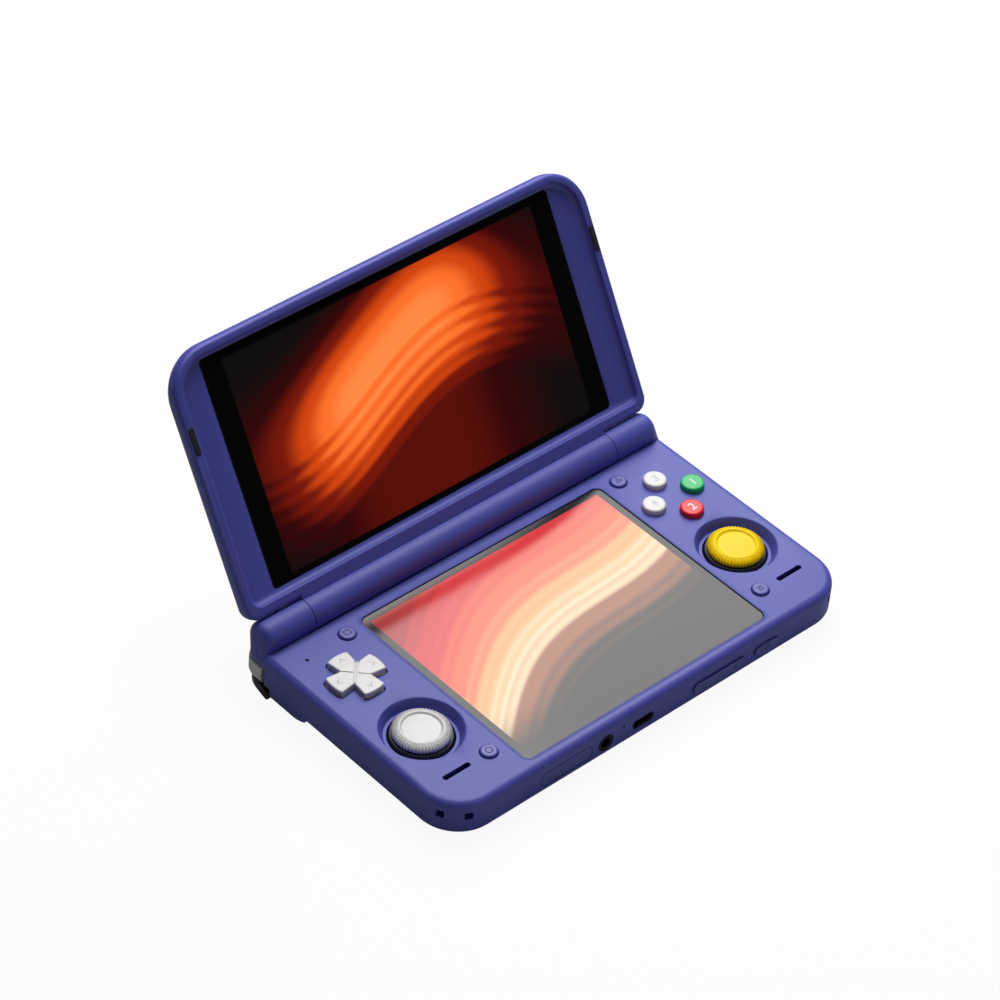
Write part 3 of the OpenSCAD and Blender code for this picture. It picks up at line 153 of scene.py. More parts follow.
def moulded_copy(node, body, edge=shell_edge):
    mesh = bmesh.new()
    mesh.from_mesh(nodes[node].data)
    bmesh.ops.remove_doubles(mesh, verts=mesh.verts, dist=weld_gap)
    bmesh.ops.dissolve_limit(mesh, angle_limit=flat_angle, verts=mesh.verts, edges=mesh.edges)
    data = bpy.data.meshes.new(node + "_skin")
    mesh.to_mesh(data)
    mesh.free()
    data.shade_smooth()
    data.set_sharp_from_angle(angle=sharp_angle)
    piece = bpy.data.objects.new(node + "_skin", data)
    scene.collection.objects.link(piece)
    bevel = piece.modifiers.new("soft_edges", "BEVEL")
    bevel.width = edge
    bevel.segments = 2
    bevel.limit_method = "ANGLE"
    bevel.angle_limit = sharp_angle
    bevel.use_clamp_overlap = True
    bevel.harden_normals = True
    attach(piece, body)
    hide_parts(node)
    return piece


def calc(tree, operation, first, second=None, third=None):
    step = tree.nodes.new("ShaderNodeMath")
    step.operation = operation
    for socket, value in zip(step.inputs, (first, second, third)):
        if value is None:
            continue
        if isinstance(value, (int, float)):
            socket.default_value = value
        else:
            tree.links.new(value, socket)
    return step.outputs[0]


def scaled(tree, color, amount):
    step = tree.nodes.new("ShaderNodeVectorMath")
    step.operation = "SCALE"
    tree.links.new(color, step.inputs[0])
    tree.links.new(amount, step.inputs["Scale"])
    return step.outputs[0]


def noise(tree, place, scale, detail):
    cloud = tree.nodes.new("ShaderNodeTexNoise")
    cloud.inputs["Scale"].default_value = scale
    cloud.inputs["Detail"].default_value = detail
    tree.links.new(place, cloud.inputs["Vector"])
    return cloud.outputs["Fac"]


def moulded_skin_group():
    group = bpy.data.node_groups.new("moulded_skin", "ShaderNodeTree")
    for name, kind, value in (
        ("Color", "NodeSocketColor", (0.2, 0.2, 0.5, 1)),
        ("Drift", "NodeSocketFloat", 0.05),
        ("Roughness", "NodeSocketFloat", 0.45),
        ("Grain", "NodeSocketFloat", 0.04),
    ):
        socket = group.interface.new_socket(name=name, in_out="INPUT", socket_type=kind)
        socket.default_value = value
    for name, kind in (
        ("Color", "NodeSocketColor"),
        ("Roughness", "NodeSocketFloat"),
        ("Height", "NodeSocketFloat"),
    ):
        group.interface.new_socket(name=name, in_out="OUTPUT", socket_type=kind)
    enter = group.nodes.new("NodeGroupInput")
    leave = group.nodes.new("NodeGroupOutput")
    place = group.nodes.new("ShaderNodeTexCoord").outputs["Object"]
    flow_marks = noise(group, place, scale=26, detail=4)
    spark_skin = noise(group, place, scale=2600, detail=2)
    noise_middle = 0.5
    polish_swing = 0.16
    swing = calc(group, "SUBTRACT", flow_marks, noise_middle)
    shade = calc(group, "MULTIPLY_ADD", swing, enter.outputs["Drift"], 1.0)
    speck = calc(group, "SUBTRACT", spark_skin, noise_middle)
    polish = calc(group, "MULTIPLY_ADD", speck, polish_swing, enter.outputs["Roughness"])
    relief = calc(group, "MULTIPLY", spark_skin, enter.outputs["Grain"])
    group.links.new(scaled(group, enter.outputs["Color"], shade), leave.inputs["Color"])
    group.links.new(polish, leave.inputs["Roughness"])
    group.links.new(relief, leave.inputs["Height"])
    return group


moulded_skin = moulded_skin_group()


def moulded_plastic(name, color, roughness=0.45, grain=0.04, drift=0.05, coat=0.0, specular=0.5):
    material, tree, skin = new_material(name)
    effect = tree.nodes.new("ShaderNodeGroup")
    effect.node_tree = moulded_skin
    effect.inputs["Color"].default_value = (*color, 1)
    effect.inputs["Drift"].default_value = drift
    effect.inputs["Roughness"].default_value = roughness
    effect.inputs["Grain"].default_value = grain
    bump = tree.nodes.new("ShaderNodeBump")
    bump.inputs["Strength"].default_value = 0.35
    bump.inputs["Distance"].default_value = 0.0004
    tree.links.new(effect.outputs["Color"], skin.inputs["Base Color"])
    tree.links.new(effect.outputs["Roughness"], skin.inputs["Roughness"])
    tree.links.new(effect.outputs["Height"], bump.inputs["Height"])
    tree.links.new(bump.outputs["Normal"], skin.inputs["Normal"])
    skin.inputs["Coat Weight"].default_value = coat
    skin.inputs["Coat Roughness"].default_value = 0.2
    skin.inputs["Specular IOR Level"].default_value = specular
    return material


def dress(piece, material):
    piece.data.materials.append(material)
    return piece


indigo = moulded_plastic("indigo_abs", (0.076, 0.087, 0.43), roughness=0.49, specular=0.48)
upper_case = dress(moulded_copy("upper_case", "base"), indigo)
for node, body, slot in (
    ("lower_case", "base", "indigo_under_shell"),
    ("hinge_barrel", "lid", "indigo_shell"),
    ("lid_front_bezel", "lid", "indigo_shell"),
    ("lid_back_cover", "lid", "indigo_under_shell"),
):
    dress(moulded_copy(node, body), indigo)

# The speaker slots in front of the sticks are a little wider than the solid's.
speaker_slot_x, speaker_slot_y = 0.0744, -0.0712
slot_reach_x, slot_reach_y, slot_widening = 0.0075, 0.0008, 1.3
for point in upper_case.data.vertices:
    along = abs(abs(point.co.x) - speaker_slot_x)
    across = point.co.y - speaker_slot_y
    if along < slot_reach_x and abs(across) < slot_reach_y:
        point.co.y = speaker_slot_y + across * slot_widening

# ---------------------------------------------------------------- knuckle roots
# At both ends of the hinge the base's knuckle flows down into the casing's round
# rear corner. Each root is moulded in one with the casing, in the same indigo ABS.

millimetre = 0.001


def finished(name, mesh, place, body, material, stands_for=None, angle=38):
    bmesh.ops.scale(mesh, vec=(millimetre, millimetre, millimetre), verts=mesh.verts)
    bmesh.ops.translate(mesh, vec=place, verts=mesh.verts)
    data = bpy.data.meshes.new(name)
    mesh.to_mesh(data)
    mesh.free()
    data.shade_smooth()
    data.set_sharp_from_angle(angle=math.radians(angle))
    piece = bpy.data.objects.new(name, data)
    scene.collection.objects.link(piece)
    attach(piece, body)
    if stands_for:
        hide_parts(stands_for)
    return dress(piece, material)


lid_hinge = next(joint for joint in frame["joints"] if joint["name"] == "lid_hinge")
hinge_y, hinge_z = (place / millimetre for place in lid_hinge["pos_m"][1:])
knuckle_r, knuckle_start, knuckle_round = 5.9, 84.0, 3.41
corner_x, corner_y, corner_r = 82.0, 9.8, 6.97
root_z, root_front_y = 16.3, 5.9
ring_turns = [math.pi / 12 * step for step in range(7)]
corner_turns = [math.pi / 24 * step for step in range(13)]
for side, sign in (("left", -1), ("right", 1)):
    root = bmesh.new()
    for turn in ring_turns:
        x = knuckle_start + knuckle_round * math.sin(turn)
        radius = knuckle_r - knuckle_round * (1 - math.cos(turn))
        facing = Matrix.Rotation(math.pi / 2, 4, "Y")
        ring = bmesh.ops.create_circle(root, segments=64, radius=radius, matrix=facing)["verts"]
        bmesh.ops.translate(root, verts=ring, vec=(sign * x, hinge_y, hinge_z))
    for turn in corner_turns:
        x = corner_x + corner_r * math.cos(turn)
        root.verts.new((sign * x, corner_y + corner_r * math.sin(turn), root_z))
    root.verts.new((sign * (corner_x + corner_r), root_front_y, root_z))
    hull = bmesh.ops.convex_hull(root, input=root.verts)
    inner_points = [part for part in hull["geom_interior"] if isinstance(part, bmesh.types.BMVert)]
    bmesh.ops.delete(root, geom=inner_points, context="VERTS")
    bmesh.ops.recalc_face_normals(root, faces=root.faces)
    finished(side + "_knuckle_root", root, (0, 0, 0), "base", indigo, angle=45)

# ---------------------------------------------------------------- cover glasses
# Each screen lies under one sheet of glass with ground edges, bonded into its
# casing. The sheet is printed black from behind, round a clear window, and the
# lit picture shows through the window.


def screen_glass(name, origin, lean, picture):
    material, tree, skin = new_material(name)
    skin.inputs["Base Color"].default_value = (0.004, 0.004, 0.005, 1)
    skin.inputs["Roughness"].default_value = 0.09
    skin.inputs["IOR"].default_value = 1.5
    skin.inputs["Specular IOR Level"].default_value = 0.48
    skin.inputs["Emission Strength"].default_value = 1.0
    place = tree.nodes.new("ShaderNodeTexCoord")
    turn = tree.nodes.new("ShaderNodeMapping")
    turn.vector_type = "TEXTURE"
    turn.inputs["Location"].default_value = origin
    turn.inputs["Rotation"].default_value = (math.radians(lean), 0, 0)
    tree.links.new(place.outputs["Object"], turn.inputs["Vector"])
    axes = tree.nodes.new("ShaderNodeSeparateXYZ")
    tree.links.new(turn.outputs[0], axes.inputs[0])
    tree.links.new(picture(tree, axes.outputs["X"], axes.outputs["Y"]), skin.inputs["Emission Color"])
    return material


def smooth_step(tree, value, low, high):
    span = tree.nodes.new("ShaderNodeMapRange")
    span.interpolation_type = "SMOOTHERSTEP"
    span.inputs["From Min"].default_value = low
    span.inputs["From Max"].default_value = high
    tree.links.new(value, span.inputs["Value"])
    return span.outputs["Result"]


def window_mask(tree, x, y, half_width, low, high):
    across = calc(tree, "LESS_THAN", calc(tree, "ABSOLUTE", x), half_width)
    above = calc(tree, "GREATER_THAN", y, low)
    below = calc(tree, "LESS_THAN", y, high)
    return calc(tree, "MULTIPLY", across, calc(tree, "MULTIPLY", above, below))


def window_shares(tree, x, y, half_width, middle, half_height):
    u = calc(tree, "DIVIDE", x, half_width)
    v = calc(tree, "DIVIDE", calc(tree, "SUBTRACT", y, middle), half_height)
    return u, v


def ripple(tree, value, pitch, phase, height):
    turn = calc(tree, "MULTIPLY_ADD", value, pitch, phase)
    return calc(tree, "MULTIPLY", calc(tree, "SINE", turn), height)


def ramp(tree, value, stops):
    colors = tree.nodes.new("ShaderNodeValToRGB")
    band = colors.color_ramp
    band.interpolation = "EASE"
    while len(band.elements) < len(stops):
        band.elements.new(0.5)
    for element, (at, color) in zip(band.elements, stops):
        element.position = at
        element.color = (*color, 1)
    tree.links.new(value, colors.inputs["Fac"])
    return colors.outputs["Color"]


upper_window = {"half_width": 0.06667, "low": 0.01464, "high": 0.08966}
upper_colors = (
    (0.0, (0.004, 0.003, 0.003)),
    (0.2, (0.030, 0.001, 0.001)),
    (0.42, (0.18, 0.008, 0.002)),
    (0.66, (0.66, 0.06, 0.004)),
    (0.86, (1.0, 0.17, 0.025)),
    (1.0, (1.0, 0.26, 0.06)),
)


def upper_picture(tree, x, y):
    crest_rise, glow_reach, fold_pitch, fold_depth = 0.16, 1.15, 46, 0.09
    bright_middle, dark_end, bright_end = -0.06, 1.12, 0.2
    end_light, ember_light = 0.25, 0.30
    crest_foot, crest_top, ember_top, ember_foot = -0.05, 0.12, 0.35, -0.5
    u, v = window_shares(tree, x, y, half_width=0.0667, middle=0.0522, half_height=0.0375)
    wave = ripple(tree, u, pitch=2.4, phase=0.6, height=0.34)
    crest = calc(tree, "SUBTRACT", v, calc(tree, "ADD", wave, crest_rise))
    fall = smooth_step(tree, calc(tree, "ABSOLUTE", crest), 0.0, glow_reach)
    glow = calc(tree, "SUBTRACT", 1, fall)
    folds = calc(tree, "SINE", calc(tree, "MULTIPLY", crest, fold_pitch))
    folds = calc(tree, "MULTIPLY_ADD", folds, fold_depth, 1 - fold_depth)
    above_crest = smooth_step(tree, crest, crest_foot, crest_top)
    below_crest = calc(tree, "SUBTRACT", 1, above_crest)
    folds = calc(tree, "ADD", calc(tree, "MULTIPLY", folds, below_crest), above_crest)
    off_middle = calc(tree, "ABSOLUTE", calc(tree, "SUBTRACT", u, bright_middle))
    ends = smooth_step(tree, off_middle, dark_end, bright_end)
    dimming = calc(tree, "MULTIPLY_ADD", ends, 1 - end_light, end_light)
    light = calc(tree, "MULTIPLY", calc(tree, "MULTIPLY", glow, folds), dimming)
    low_half = smooth_step(tree, crest, ember_top, ember_foot)
    ember = calc(tree, "MULTIPLY", calc(tree, "MULTIPLY", low_half, ends), ember_light)
    color = ramp(tree, calc(tree, "MAXIMUM", light, ember), upper_colors)
    return scaled(tree, color, window_mask(tree, x, y, **upper_window))


lower_window = {"half_width": 0.0508, "low": 0.0, "high": 0.0740}
lower_colors = (
    (0.0, (0.004, 0.004, 0.004)),
    (0.30, (0.010, 0.007, 0.006)),
    (0.40, (0.34, 0.12, 0.05)),
    (0.455, (0.95, 0.68, 0.42)),
    (0.50, (0.88, 0.44, 0.18)),
    (0.59, (0.84, 0.13, 0.04)),
    (0.70, (0.66, 0.012, 0.018)),
    (0.84, (0.36, 0.006, 0.005)),
    (1.0, (0.18, 0.004, 0.002)),
)


def lower_picture(tree, x, y):
    crest_slope, crest_spread, crest_level = 0.66, 0.26, 0.50
    dark_foot, lit_foot = -1.12, -0.5
    u, v = window_shares(tree, x, y, half_width=0.0508, middle=0.0370, half_height=0.0370)
    wave = ripple(tree, u, pitch=2.0, phase=2.4, height=0.30)
    slope = calc(tree, "MULTIPLY", u, crest_slope)
    crest = calc(tree, "SUBTRACT", calc(tree, "SUBTRACT", v, slope), wave)
    folds = ripple(tree, crest, pitch=40, phase=0, height=0.014)
    level = calc(tree, "ADD", calc(tree, "MULTIPLY_ADD", crest, crest_spread, crest_level), folds)
    color = scaled(tree, ramp(tree, level, lower_colors), smooth_step(tree, v, dark_foot, lit_foot))
    return scaled(tree, color, window_mask(tree, x, y, **lower_window))


glass_edge = 0.00025
lid_lean = 180 - lid_hinge["range_deg"][1]
upper_glass = screen_glass("upper_screen_glass", lid_hinge["pos_m"], lid_lean, upper_picture)
dress(moulded_copy("upper_cover_glass", "lid", glass_edge), upper_glass)
lower_window_foot = (0, -0.0765, 0.0191)
lower_glass = screen_glass("lower_screen_glass", lower_window_foot, 0, lower_picture)
dress(moulded_copy("lower_cover_glass", "base", glass_edge), lower_glass)

# ---------------------------------------------------------------- stick caps
# Thumb grips pushed onto the two sticks, moulded in white ABS on the left and
# in yellow on the right. Fine ribs run over the rolled rim, and a thin ring
# stands round the smooth dished middle.

cap_section = (
    (0, 19.42), (2.2, 19.39), (4.2, 19.30), (5.4, 19.19), (5.95, 19.12), (6.25, 19.13), (6.5, 19.26),
    (6.7, 19.48), (6.9, 19.65), (7.15, 19.73), (7.38, 19.70), (7.55, 19.60), (7.75, 19.56), (8.1, 19.54),
    (8.5, 19.46), (8.9, 19.29), (9.3, 19.00), (9.6, 18.66), (9.82, 18.26), (9.9, 17.86), (9.85, 17.5),
    (9.7, 17.2), (9.42, 16.98), (9.0, 16.88), (7.9, 16.88), (7.9, 16.5), (1.68, 16.5), (1.68, 17.72),
    (0, 17.72),
)
rib_count, rib_depth, rib_sharpness = 54, 0.42, 0.9
rib_start_r, rib_low_z, rib_fade = 7.6, 16.9, 0.35
rim_middle_r, rim_middle_z = 8.2, 18.05
turning_weld = 0.0005
white_abs = moulded_plastic("white_abs", (0.70, 0.70, 0.69), roughness=0.32, grain=0.012, drift=0.02,
                            coat=0.15)
yellow_grip = moulded_plastic("yellow_grip", (1.0, 0.70, 0.001), roughness=0.34, grain=0.015, drift=0.02,
                              specular=0.18)


def turned(section, steps):
    mesh = bmesh.new()
    points = [mesh.verts.new((r, 0, z)) for r, z in section]
    edges = [mesh.edges.new(pair) for pair in zip(points, points[1:])]
    bmesh.ops.spin(mesh, geom=points + edges, cent=(0, 0, 0), axis=(0, 0, 1), angle=math.tau, steps=steps,
                   use_merge=True)
    bmesh.ops.remove_doubles(mesh, verts=mesh.verts, dist=turning_weld)
    bmesh.ops.recalc_face_normals(mesh, faces=mesh.faces)
    return mesh


def cut_ribs(mesh):
    for point in mesh.verts:
        radius = math.hypot(point.co.x, point.co.y)
        if radius < rib_start_r or point.co.z < rib_low_z:
            continue
        out = Vector((radius - rim_middle_r, point.co.z - rim_middle_z)).normalized()
        turn = math.atan2(point.co.y, point.co.x)
        groove = 1 - abs(math.cos(rib_count * turn / 2)) ** rib_sharpness
        fade = min((radius - rib_start_r) / rib_fade, 1)
        new_radius = radius - rib_depth * groove * fade * out.x
        point.co.x *= new_radius / radius
        point.co.y *= new_radius / radius
        point.co.z -= rib_depth * groove * fade * out.y


def middle_of(node):
    low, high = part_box(node)
    return [round((a + b) / 2, 5) for a, b in zip(low, high)]


def upright_axis(node):
    x, y, _ = middle_of(node)
    return (x, y, 0)


for side, plastic, slot in (("left", white_abs, "white_plastic"), ("right", yellow_grip, "yellow_grip")):
    node = side + "_stick_cap"
    cap = turned(cap_section, rib_count * 10)
    cut_ribs(cap)
    finished(side + "_stick_grip", cap, upright_axis(node), side + "_cap", plastic, node)

# ---------------------------------------------------------------- stick skirts
# A spherical skirt of black acetal under each cap keeps the dish closed at every
# tilt. It is moulded with a fine matt skin, since it rubs on nothing.

black_satin = moulded_plastic("black_satin", (0.011, 0.011, 0.012), roughness=0.46, grain=0.03, drift=0.1)
skirt_section = (
    (9.67, 11.5), (10.88, 11.5), (10.97, 12.3), (11.0, 13.1), (10.97, 13.9), (10.86, 14.8), (10.66, 15.75),
    (10.42, 16.5), (10.22, 16.74), (9.9, 16.8), (9.2, 16.74), (9.2, 16.46), (9.3, 16.2), (9.5, 15.5),
    (9.7, 14.5), (9.8, 13.3), (9.76, 12.2), (9.67, 11.5),
)
skirt_steps = 128
for side in ("left", "right"):
    skirt = turned(skirt_section, skirt_steps)
    finished(side + "_skirt", skirt, upright_axis(side + "_stick_cap"), side + "_cap", black_satin,
             side + "_stick_skirt")

# ---------------------------------------------------------------- direction pad
# One cross of white ABS with bowed arm ends, seated on a rocker inside. A rounded
# rib lies between two grooves across it, a plain groove crosses them, and each
# arm carries a flat grey arrowhead, its grey painted shade for a raised mark.

pad_place = upright_axis("direction_pad")
pad_top = round(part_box("direction_pad")[1][2] / millimetre, 2)
pad_cut, pad_overlap = 19.0, 0.02
pad_corner_r, pad_rim_r, pad_corner_angle = 0.7, 0.85, math.radians(30)
arm_points = ((3.5, -3.5), (9.35, -4.2), (9.78, -2.4), (9.95, -0.8), (9.95, 0.8), (9.78, 2.4), (9.35, 4.2))
arrow_points = ((6.3, -1.25), (8.1, 0), (6.3, 1.25), (6.3, 0.85), (7.5, 0), (6.3, -0.85))
groove_length, groove_width, groove_height, groove_edge, groove_y = 10.6, 0.42, 0.7, 0.1, 0.72
plain_groove_width = 0.46
rib_length, rib_width, rib_height, rib_edge, rib_sink = 10.2, 0.86, 0.6, 0.2, 0.14


def four_turns(points):
    for step in range(4):
        spin = Matrix.Rotation(math.tau * step / 4, 2)
        yield [tuple(spin @ Vector(point)) for point in points]


def rounded_prism(points, low, high, corner_r, rim_r):
    slack = 0.01
    mesh = bmesh.new()
    face = mesh.faces.new([mesh.verts.new((x, y, low)) for x, y in points])
    grown = bmesh.ops.extrude_face_region(mesh, geom=[face])["geom"]
    top = [part for part in grown if isinstance(part, bmesh.types.BMVert)]
    bmesh.ops.translate(mesh, vec=(0, 0, high - low), verts=top)
    bmesh.ops.recalc_face_normals(mesh, faces=mesh.faces)
    uprights = [edge for edge in mesh.edges if abs(edge.verts[0].co.z - edge.verts[1].co.z) > slack]
    corners = [edge for edge in uprights if edge.calc_face_angle(0) > pad_corner_angle]
    bmesh.ops.bevel(mesh, geom=corners, offset=corner_r, affect="EDGES", segments=5, profile=0.5,
                    material=-1, clamp_overlap=True)
    rim = [edge for edge in mesh.edges if min(point.co.z for point in edge.verts) > high - slack]
    bmesh.ops.bevel(mesh, geom=rim, offset=rim_r, affect="EDGES", segments=4, profile=0.5, material=-1,
                    clamp_overlap=True)
    return mesh


def join_mesh(mesh, other):
    data = bpy.data.meshes.new("part")
    other.to_mesh(data)
    other.free()
    mesh.from_mesh(data)
    bpy.data.meshes.remove(data)


def solid_foot(node, height, place):
    mesh = bmesh.new()
    mesh.from_mesh(nodes[node].data)
    bmesh.ops.remove_doubles(mesh, verts=mesh.verts, dist=weld_gap)
    bmesh.ops.translate(mesh, vec=-Vector(place), verts=mesh.verts)
    bmesh.ops.scale(mesh, vec=(1000, 1000, 1000), verts=mesh.verts)
    bmesh.ops.bisect_plane(mesh, geom=mesh.verts[:] + mesh.edges[:] + mesh.faces[:],
                           plane_co=(0, 0, height), plane_no=(0, 0, 1), clear_outer=True)
    bmesh.ops.holes_fill(mesh, edges=[edge for edge in mesh.edges if edge.is_boundary], sides=0)
    return mesh


def long_block(length, width, height, edge, angle, y, z):
    mesh = bmesh.new()
    bmesh.ops.create_cube(mesh, size=1)
    bmesh.ops.scale(mesh, vec=(length, width, height), verts=mesh.verts)
    bmesh.ops.bevel(mesh, geom=mesh.edges[:], offset=edge, affect="EDGES", segments=3, profile=0.5,
                    material=-1)
    bmesh.ops.translate(mesh, vec=(0, y, z), verts=mesh.verts)
    spin = Matrix.Rotation(math.radians(angle), 3, "Z")
    bmesh.ops.rotate(mesh, cent=(0, 0, 0), matrix=spin, verts=mesh.verts)
    return mesh


def carved(mesh, cutter):
    blanks = []
    for name, part in (("blank", mesh), ("cutter", cutter)):
        data = bpy.data.meshes.new(name)
        part.to_mesh(data)
        part.free()
        blanks.append(bpy.data.objects.new(name, data))
        scene.collection.objects.link(blanks[-1])
    cut = blanks[0].modifiers.new("cut", "BOOLEAN")
    cut.operation = "DIFFERENCE"
    cut.solver = "EXACT"
    cut.object = blanks[1]
    result = bmesh.new()
    result.from_object(blanks[0], bpy.context.evaluated_depsgraph_get())
    for blank in blanks:
        data = blank.data
        bpy.data.objects.remove(blank)
        bpy.data.meshes.remove(data)
    return result


def groove(width, angle, y):
    return long_block(groove_length, width, groove_height, groove_edge, angle, y, pad_top)


pad = solid_foot("direction_pad", pad_cut, pad_place)
cross_points = [point for arm in four_turns(arm_points) for point in arm]
cross = rounded_prism(cross_points, pad_cut - pad_overlap, pad_top, pad_corner_r, pad_rim_r)
pair = groove(groove_width, 45, groove_y)
join_mesh(pair, groove(groove_width, 45, -groove_y))
cross = carved(cross, pair)
cross = carved(cross, groove(plain_groove_width, 135, 0))
join_mesh(pad, cross)
cross = finished("direction_cross", pad, pad_place, "pad", white_abs, "direction_pad",
                 angle=42)
even = cross.modifiers.new("even_shade", "WEIGHTED_NORMAL")
even.keep_sharp = True
even.weight = 100
rib = long_block(rib_length, rib_width, rib_height, rib_edge, 45, 0, pad_top - rib_sink)
finished("direction_rib", rib, pad_place, "pad", white_abs)

# The arrowheads' grey is painted shade for the raised marks on the real pad.
arrow_lift = 0.012
arrow_shade_grey = moulded_plastic("arrow_shade_grey", (0.46, 0.46, 0.46), roughness=0.5, grain=0.01, drift=0.05,
                            specular=0.2)
arrows = bmesh.new()
for outline in four_turns(arrow_points):
    arrows.faces.new([arrows.verts.new((x, y, pad_top + arrow_lift)) for x, y in outline])
finished("direction_arrows", arrows, pad_place, "pad", arrow_shade_grey)

# ---------------------------------------------------------------- round buttons
# Four polished push buttons on a silicone mat: two white, one green and one red.
# Each is slightly domed and carries a plain number filled with paint.

button_section = (
    (0, 21.3), (1.6, 21.295), (2.8, 21.27), (3.4, 21.23), (3.72, 21.15), (3.93, 21.0), (4.08, 20.78),
    (4.14, 20.5), (4.16, 20.1), (4.16, 17.1), (4.85, 17.1), (4.85, 16.2), (0, 16.2),
)
polished = {"roughness": 0.30, "grain": 0.006, "drift": 0.03, "coat": 0.12, "specular": 0.35}
green_abs = moulded_plastic("green_abs", (0.0, 0.50, 0.13), **polished)
red_abs = moulded_plastic("red_abs", (0.86, 0.010, 0.020), **polished)
paint_white = moulded_plastic("paint_white", (0.80, 0.80, 0.80), roughness=0.5, grain=0.01)
mark_pale = moulded_plastic("mark_pale", (0.57, 0.57, 0.57), roughness=0.5, grain=0.01, drift=0.05,
                            specular=0.3)
button_steps = 72
number_height, number_thickness, number_top = 4.5, 0.2, 21.33
# The four's stroke stays plain, because a bolder one would close its eye.
bold, plain = 0.07, 0.0
number_weld = 0.0001


def number_mesh(text, stroke):
    curve = bpy.data.curves.new("number_" + text, "FONT")
    curve.body = text
    curve.size = number_height
    curve.offset = stroke
    curve.align_x = "CENTER"
    curve.align_y = "CENTER"
    curve.extrude = number_thickness / 2
    holder = bpy.data.objects.new("number_" + text, curve)
    mesh = bmesh.new()
    mesh.from_mesh(holder.to_mesh())
    holder.to_mesh_clear()
    bpy.data.objects.remove(holder)
    bpy.data.curves.remove(curve)
    bmesh.ops.remove_doubles(mesh, verts=mesh.verts, dist=number_weld)
    xs = [point.co.x for point in mesh.verts]
    ys = [point.co.y for point in mesh.verts]
    middle = Vector(((min(xs) + max(xs)) / 2, (min(ys) + max(ys)) / 2, 0))
    seat = Vector((0, 0, number_top - number_thickness / 2))
    bmesh.ops.translate(mesh, vec=seat - middle, verts=mesh.verts)
    return mesh


for where, plastic, slot, number, paint, stroke in (
    ("right", green_abs, "green_plastic", "1", paint_white, bold),
    ("front", red_abs, "red_plastic", "2", paint_white, bold),
    ("rear", white_abs, "white_plastic", "3", mark_pale, bold),
    ("left", white_abs, "white_plastic", "4", mark_pale, plain),
):
    node = "face_button_" + where
    place = upright_axis(node)
    button = turned(button_section, button_steps)
    finished("push_button_" + where, button, place, "face_" + where, plastic, node, angle=50)
    finished("number_" + where, number_mesh(number, stroke), place, "face_" + where, paint)

# ---------------------------------------------------------------- small buttons
# Four small round keys in indigo ABS, a little glossier than the casing. They sit on the
# same silicone mats, and each sign is drawn flat, dark with painted shade for an engraving.

key_section = (
    (0, 19.98), (1.7, 19.98), (2.2, 19.99), (2.55, 19.95), (2.82, 19.8), (2.99, 19.55), (3.05, 19.25),
    (3.05, 17.1), (3.85, 17.1), (3.85, 16.2), (0, 16.2),
)
indigo_key = moulded_plastic("indigo_key", (0.066, 0.074, 0.38), roughness=0.36, grain=0.02)
# The signs' dark colour is painted shade standing in for engraved lines on the real keys.
engraving_shade = moulded_plastic("engraving_shade", (0.012, 0.013, 0.075), roughness=0.6, grain=0.02, specular=0.08)
key_steps = 64
sign_z, sign_line = 20.012, 0.26
square_r, triangle_r, ring_r = 1.7, 1.6, 1.3
bar_length, bar_line, bar_pitch = 2.2, 0.28, 0.8


def ring_sign(points, width, z=0):
    mesh = bmesh.new()
    face = mesh.faces.new([mesh.verts.new((x, y, z)) for x, y in points])
    mesh.normal_update()
    bmesh.ops.inset_individual(mesh, faces=[face], thickness=width, use_even_offset=True)
    bmesh.ops.delete(mesh, geom=[face], context="FACES_ONLY")
    return mesh


def bar_sign(bars, z=0):
    mesh = bmesh.new()
    for x, y, length, width in bars:
        bar = bmesh.ops.create_grid(mesh, x_segments=1, y_segments=1, size=0.5)["verts"]
        bmesh.ops.scale(mesh, vec=(length, width, 1), verts=bar)
        bmesh.ops.translate(mesh, vec=(x, y, z), verts=bar)
    return mesh


def corner_points(count, radius, start):
    turns = [math.radians(start) + math.tau * step / count for step in range(count)]
    return [(radius * math.cos(turn), radius * math.sin(turn)) for turn in turns]


three_bars = [(0, y, bar_length, bar_line) for y in (bar_pitch, 0, -bar_pitch)]
for where, sign in (
    ("rear_left", ring_sign(corner_points(4, square_r, 45), sign_line, sign_z)),
    ("rear_right", ring_sign(corner_points(3, triangle_r, 90), sign_line, sign_z)),
    ("front_left", ring_sign(corner_points(36, ring_r, 0), sign_line, sign_z)),
    ("front_right", bar_sign(three_bars, sign_z)),
):
    node = "small_button_" + where
    place = upright_axis(node)
    key = turned(key_section, key_steps)
    finished("key_" + where, key, place, "small_" + where, indigo_key, node, angle=50)
    finished("sign_" + where, sign, place, "small_" + where, engraving_shade)

# ---------------------------------------------------------------- front edge
# Volume rocker, power key and card flap, moulded in indigo ABS to match the
# casing. A thin dark ring behind each key's gap is painted shade for the gap, and
# the rocker's and power key's engraved signs are drawn flat, dark with painted shade.

key_edge = 0.0003
# The keys' faces are sunk a hair, so their signs lie proud and inside the wall.
key_face_y, face_sink, sign_y = -0.08705, 0.00003, -0.08709
for node, body in (("power_button", "power"), ("volume_rocker", "volume"), ("card_flap", "flap")):
    key = dress(moulded_copy(node, body, key_edge), indigo_key)
    for point in key.data.vertices:
        if point.co.y < key_face_y:
            point.co.y += face_sink

facing_front = Matrix.Rotation(math.radians(90), 3, "X")
volume_sign_x = 0.0073
stroke_length, stroke_line = 1.6, 0.3
half_stroke = (stroke_length - stroke_line) / 2
half_stroke_y = (stroke_length + stroke_line) / 4
level_bar = (0, 0, stroke_length, stroke_line)
upper_bar = (0, half_stroke_y, stroke_line, half_stroke)
lower_bar = (0, -half_stroke_y, stroke_line, half_stroke)
power_ring_r, power_ring_line = 0.95, 0.22
power_bar, power_bar_lift = (0, 0.85, 0.26, 0.9), 0.004


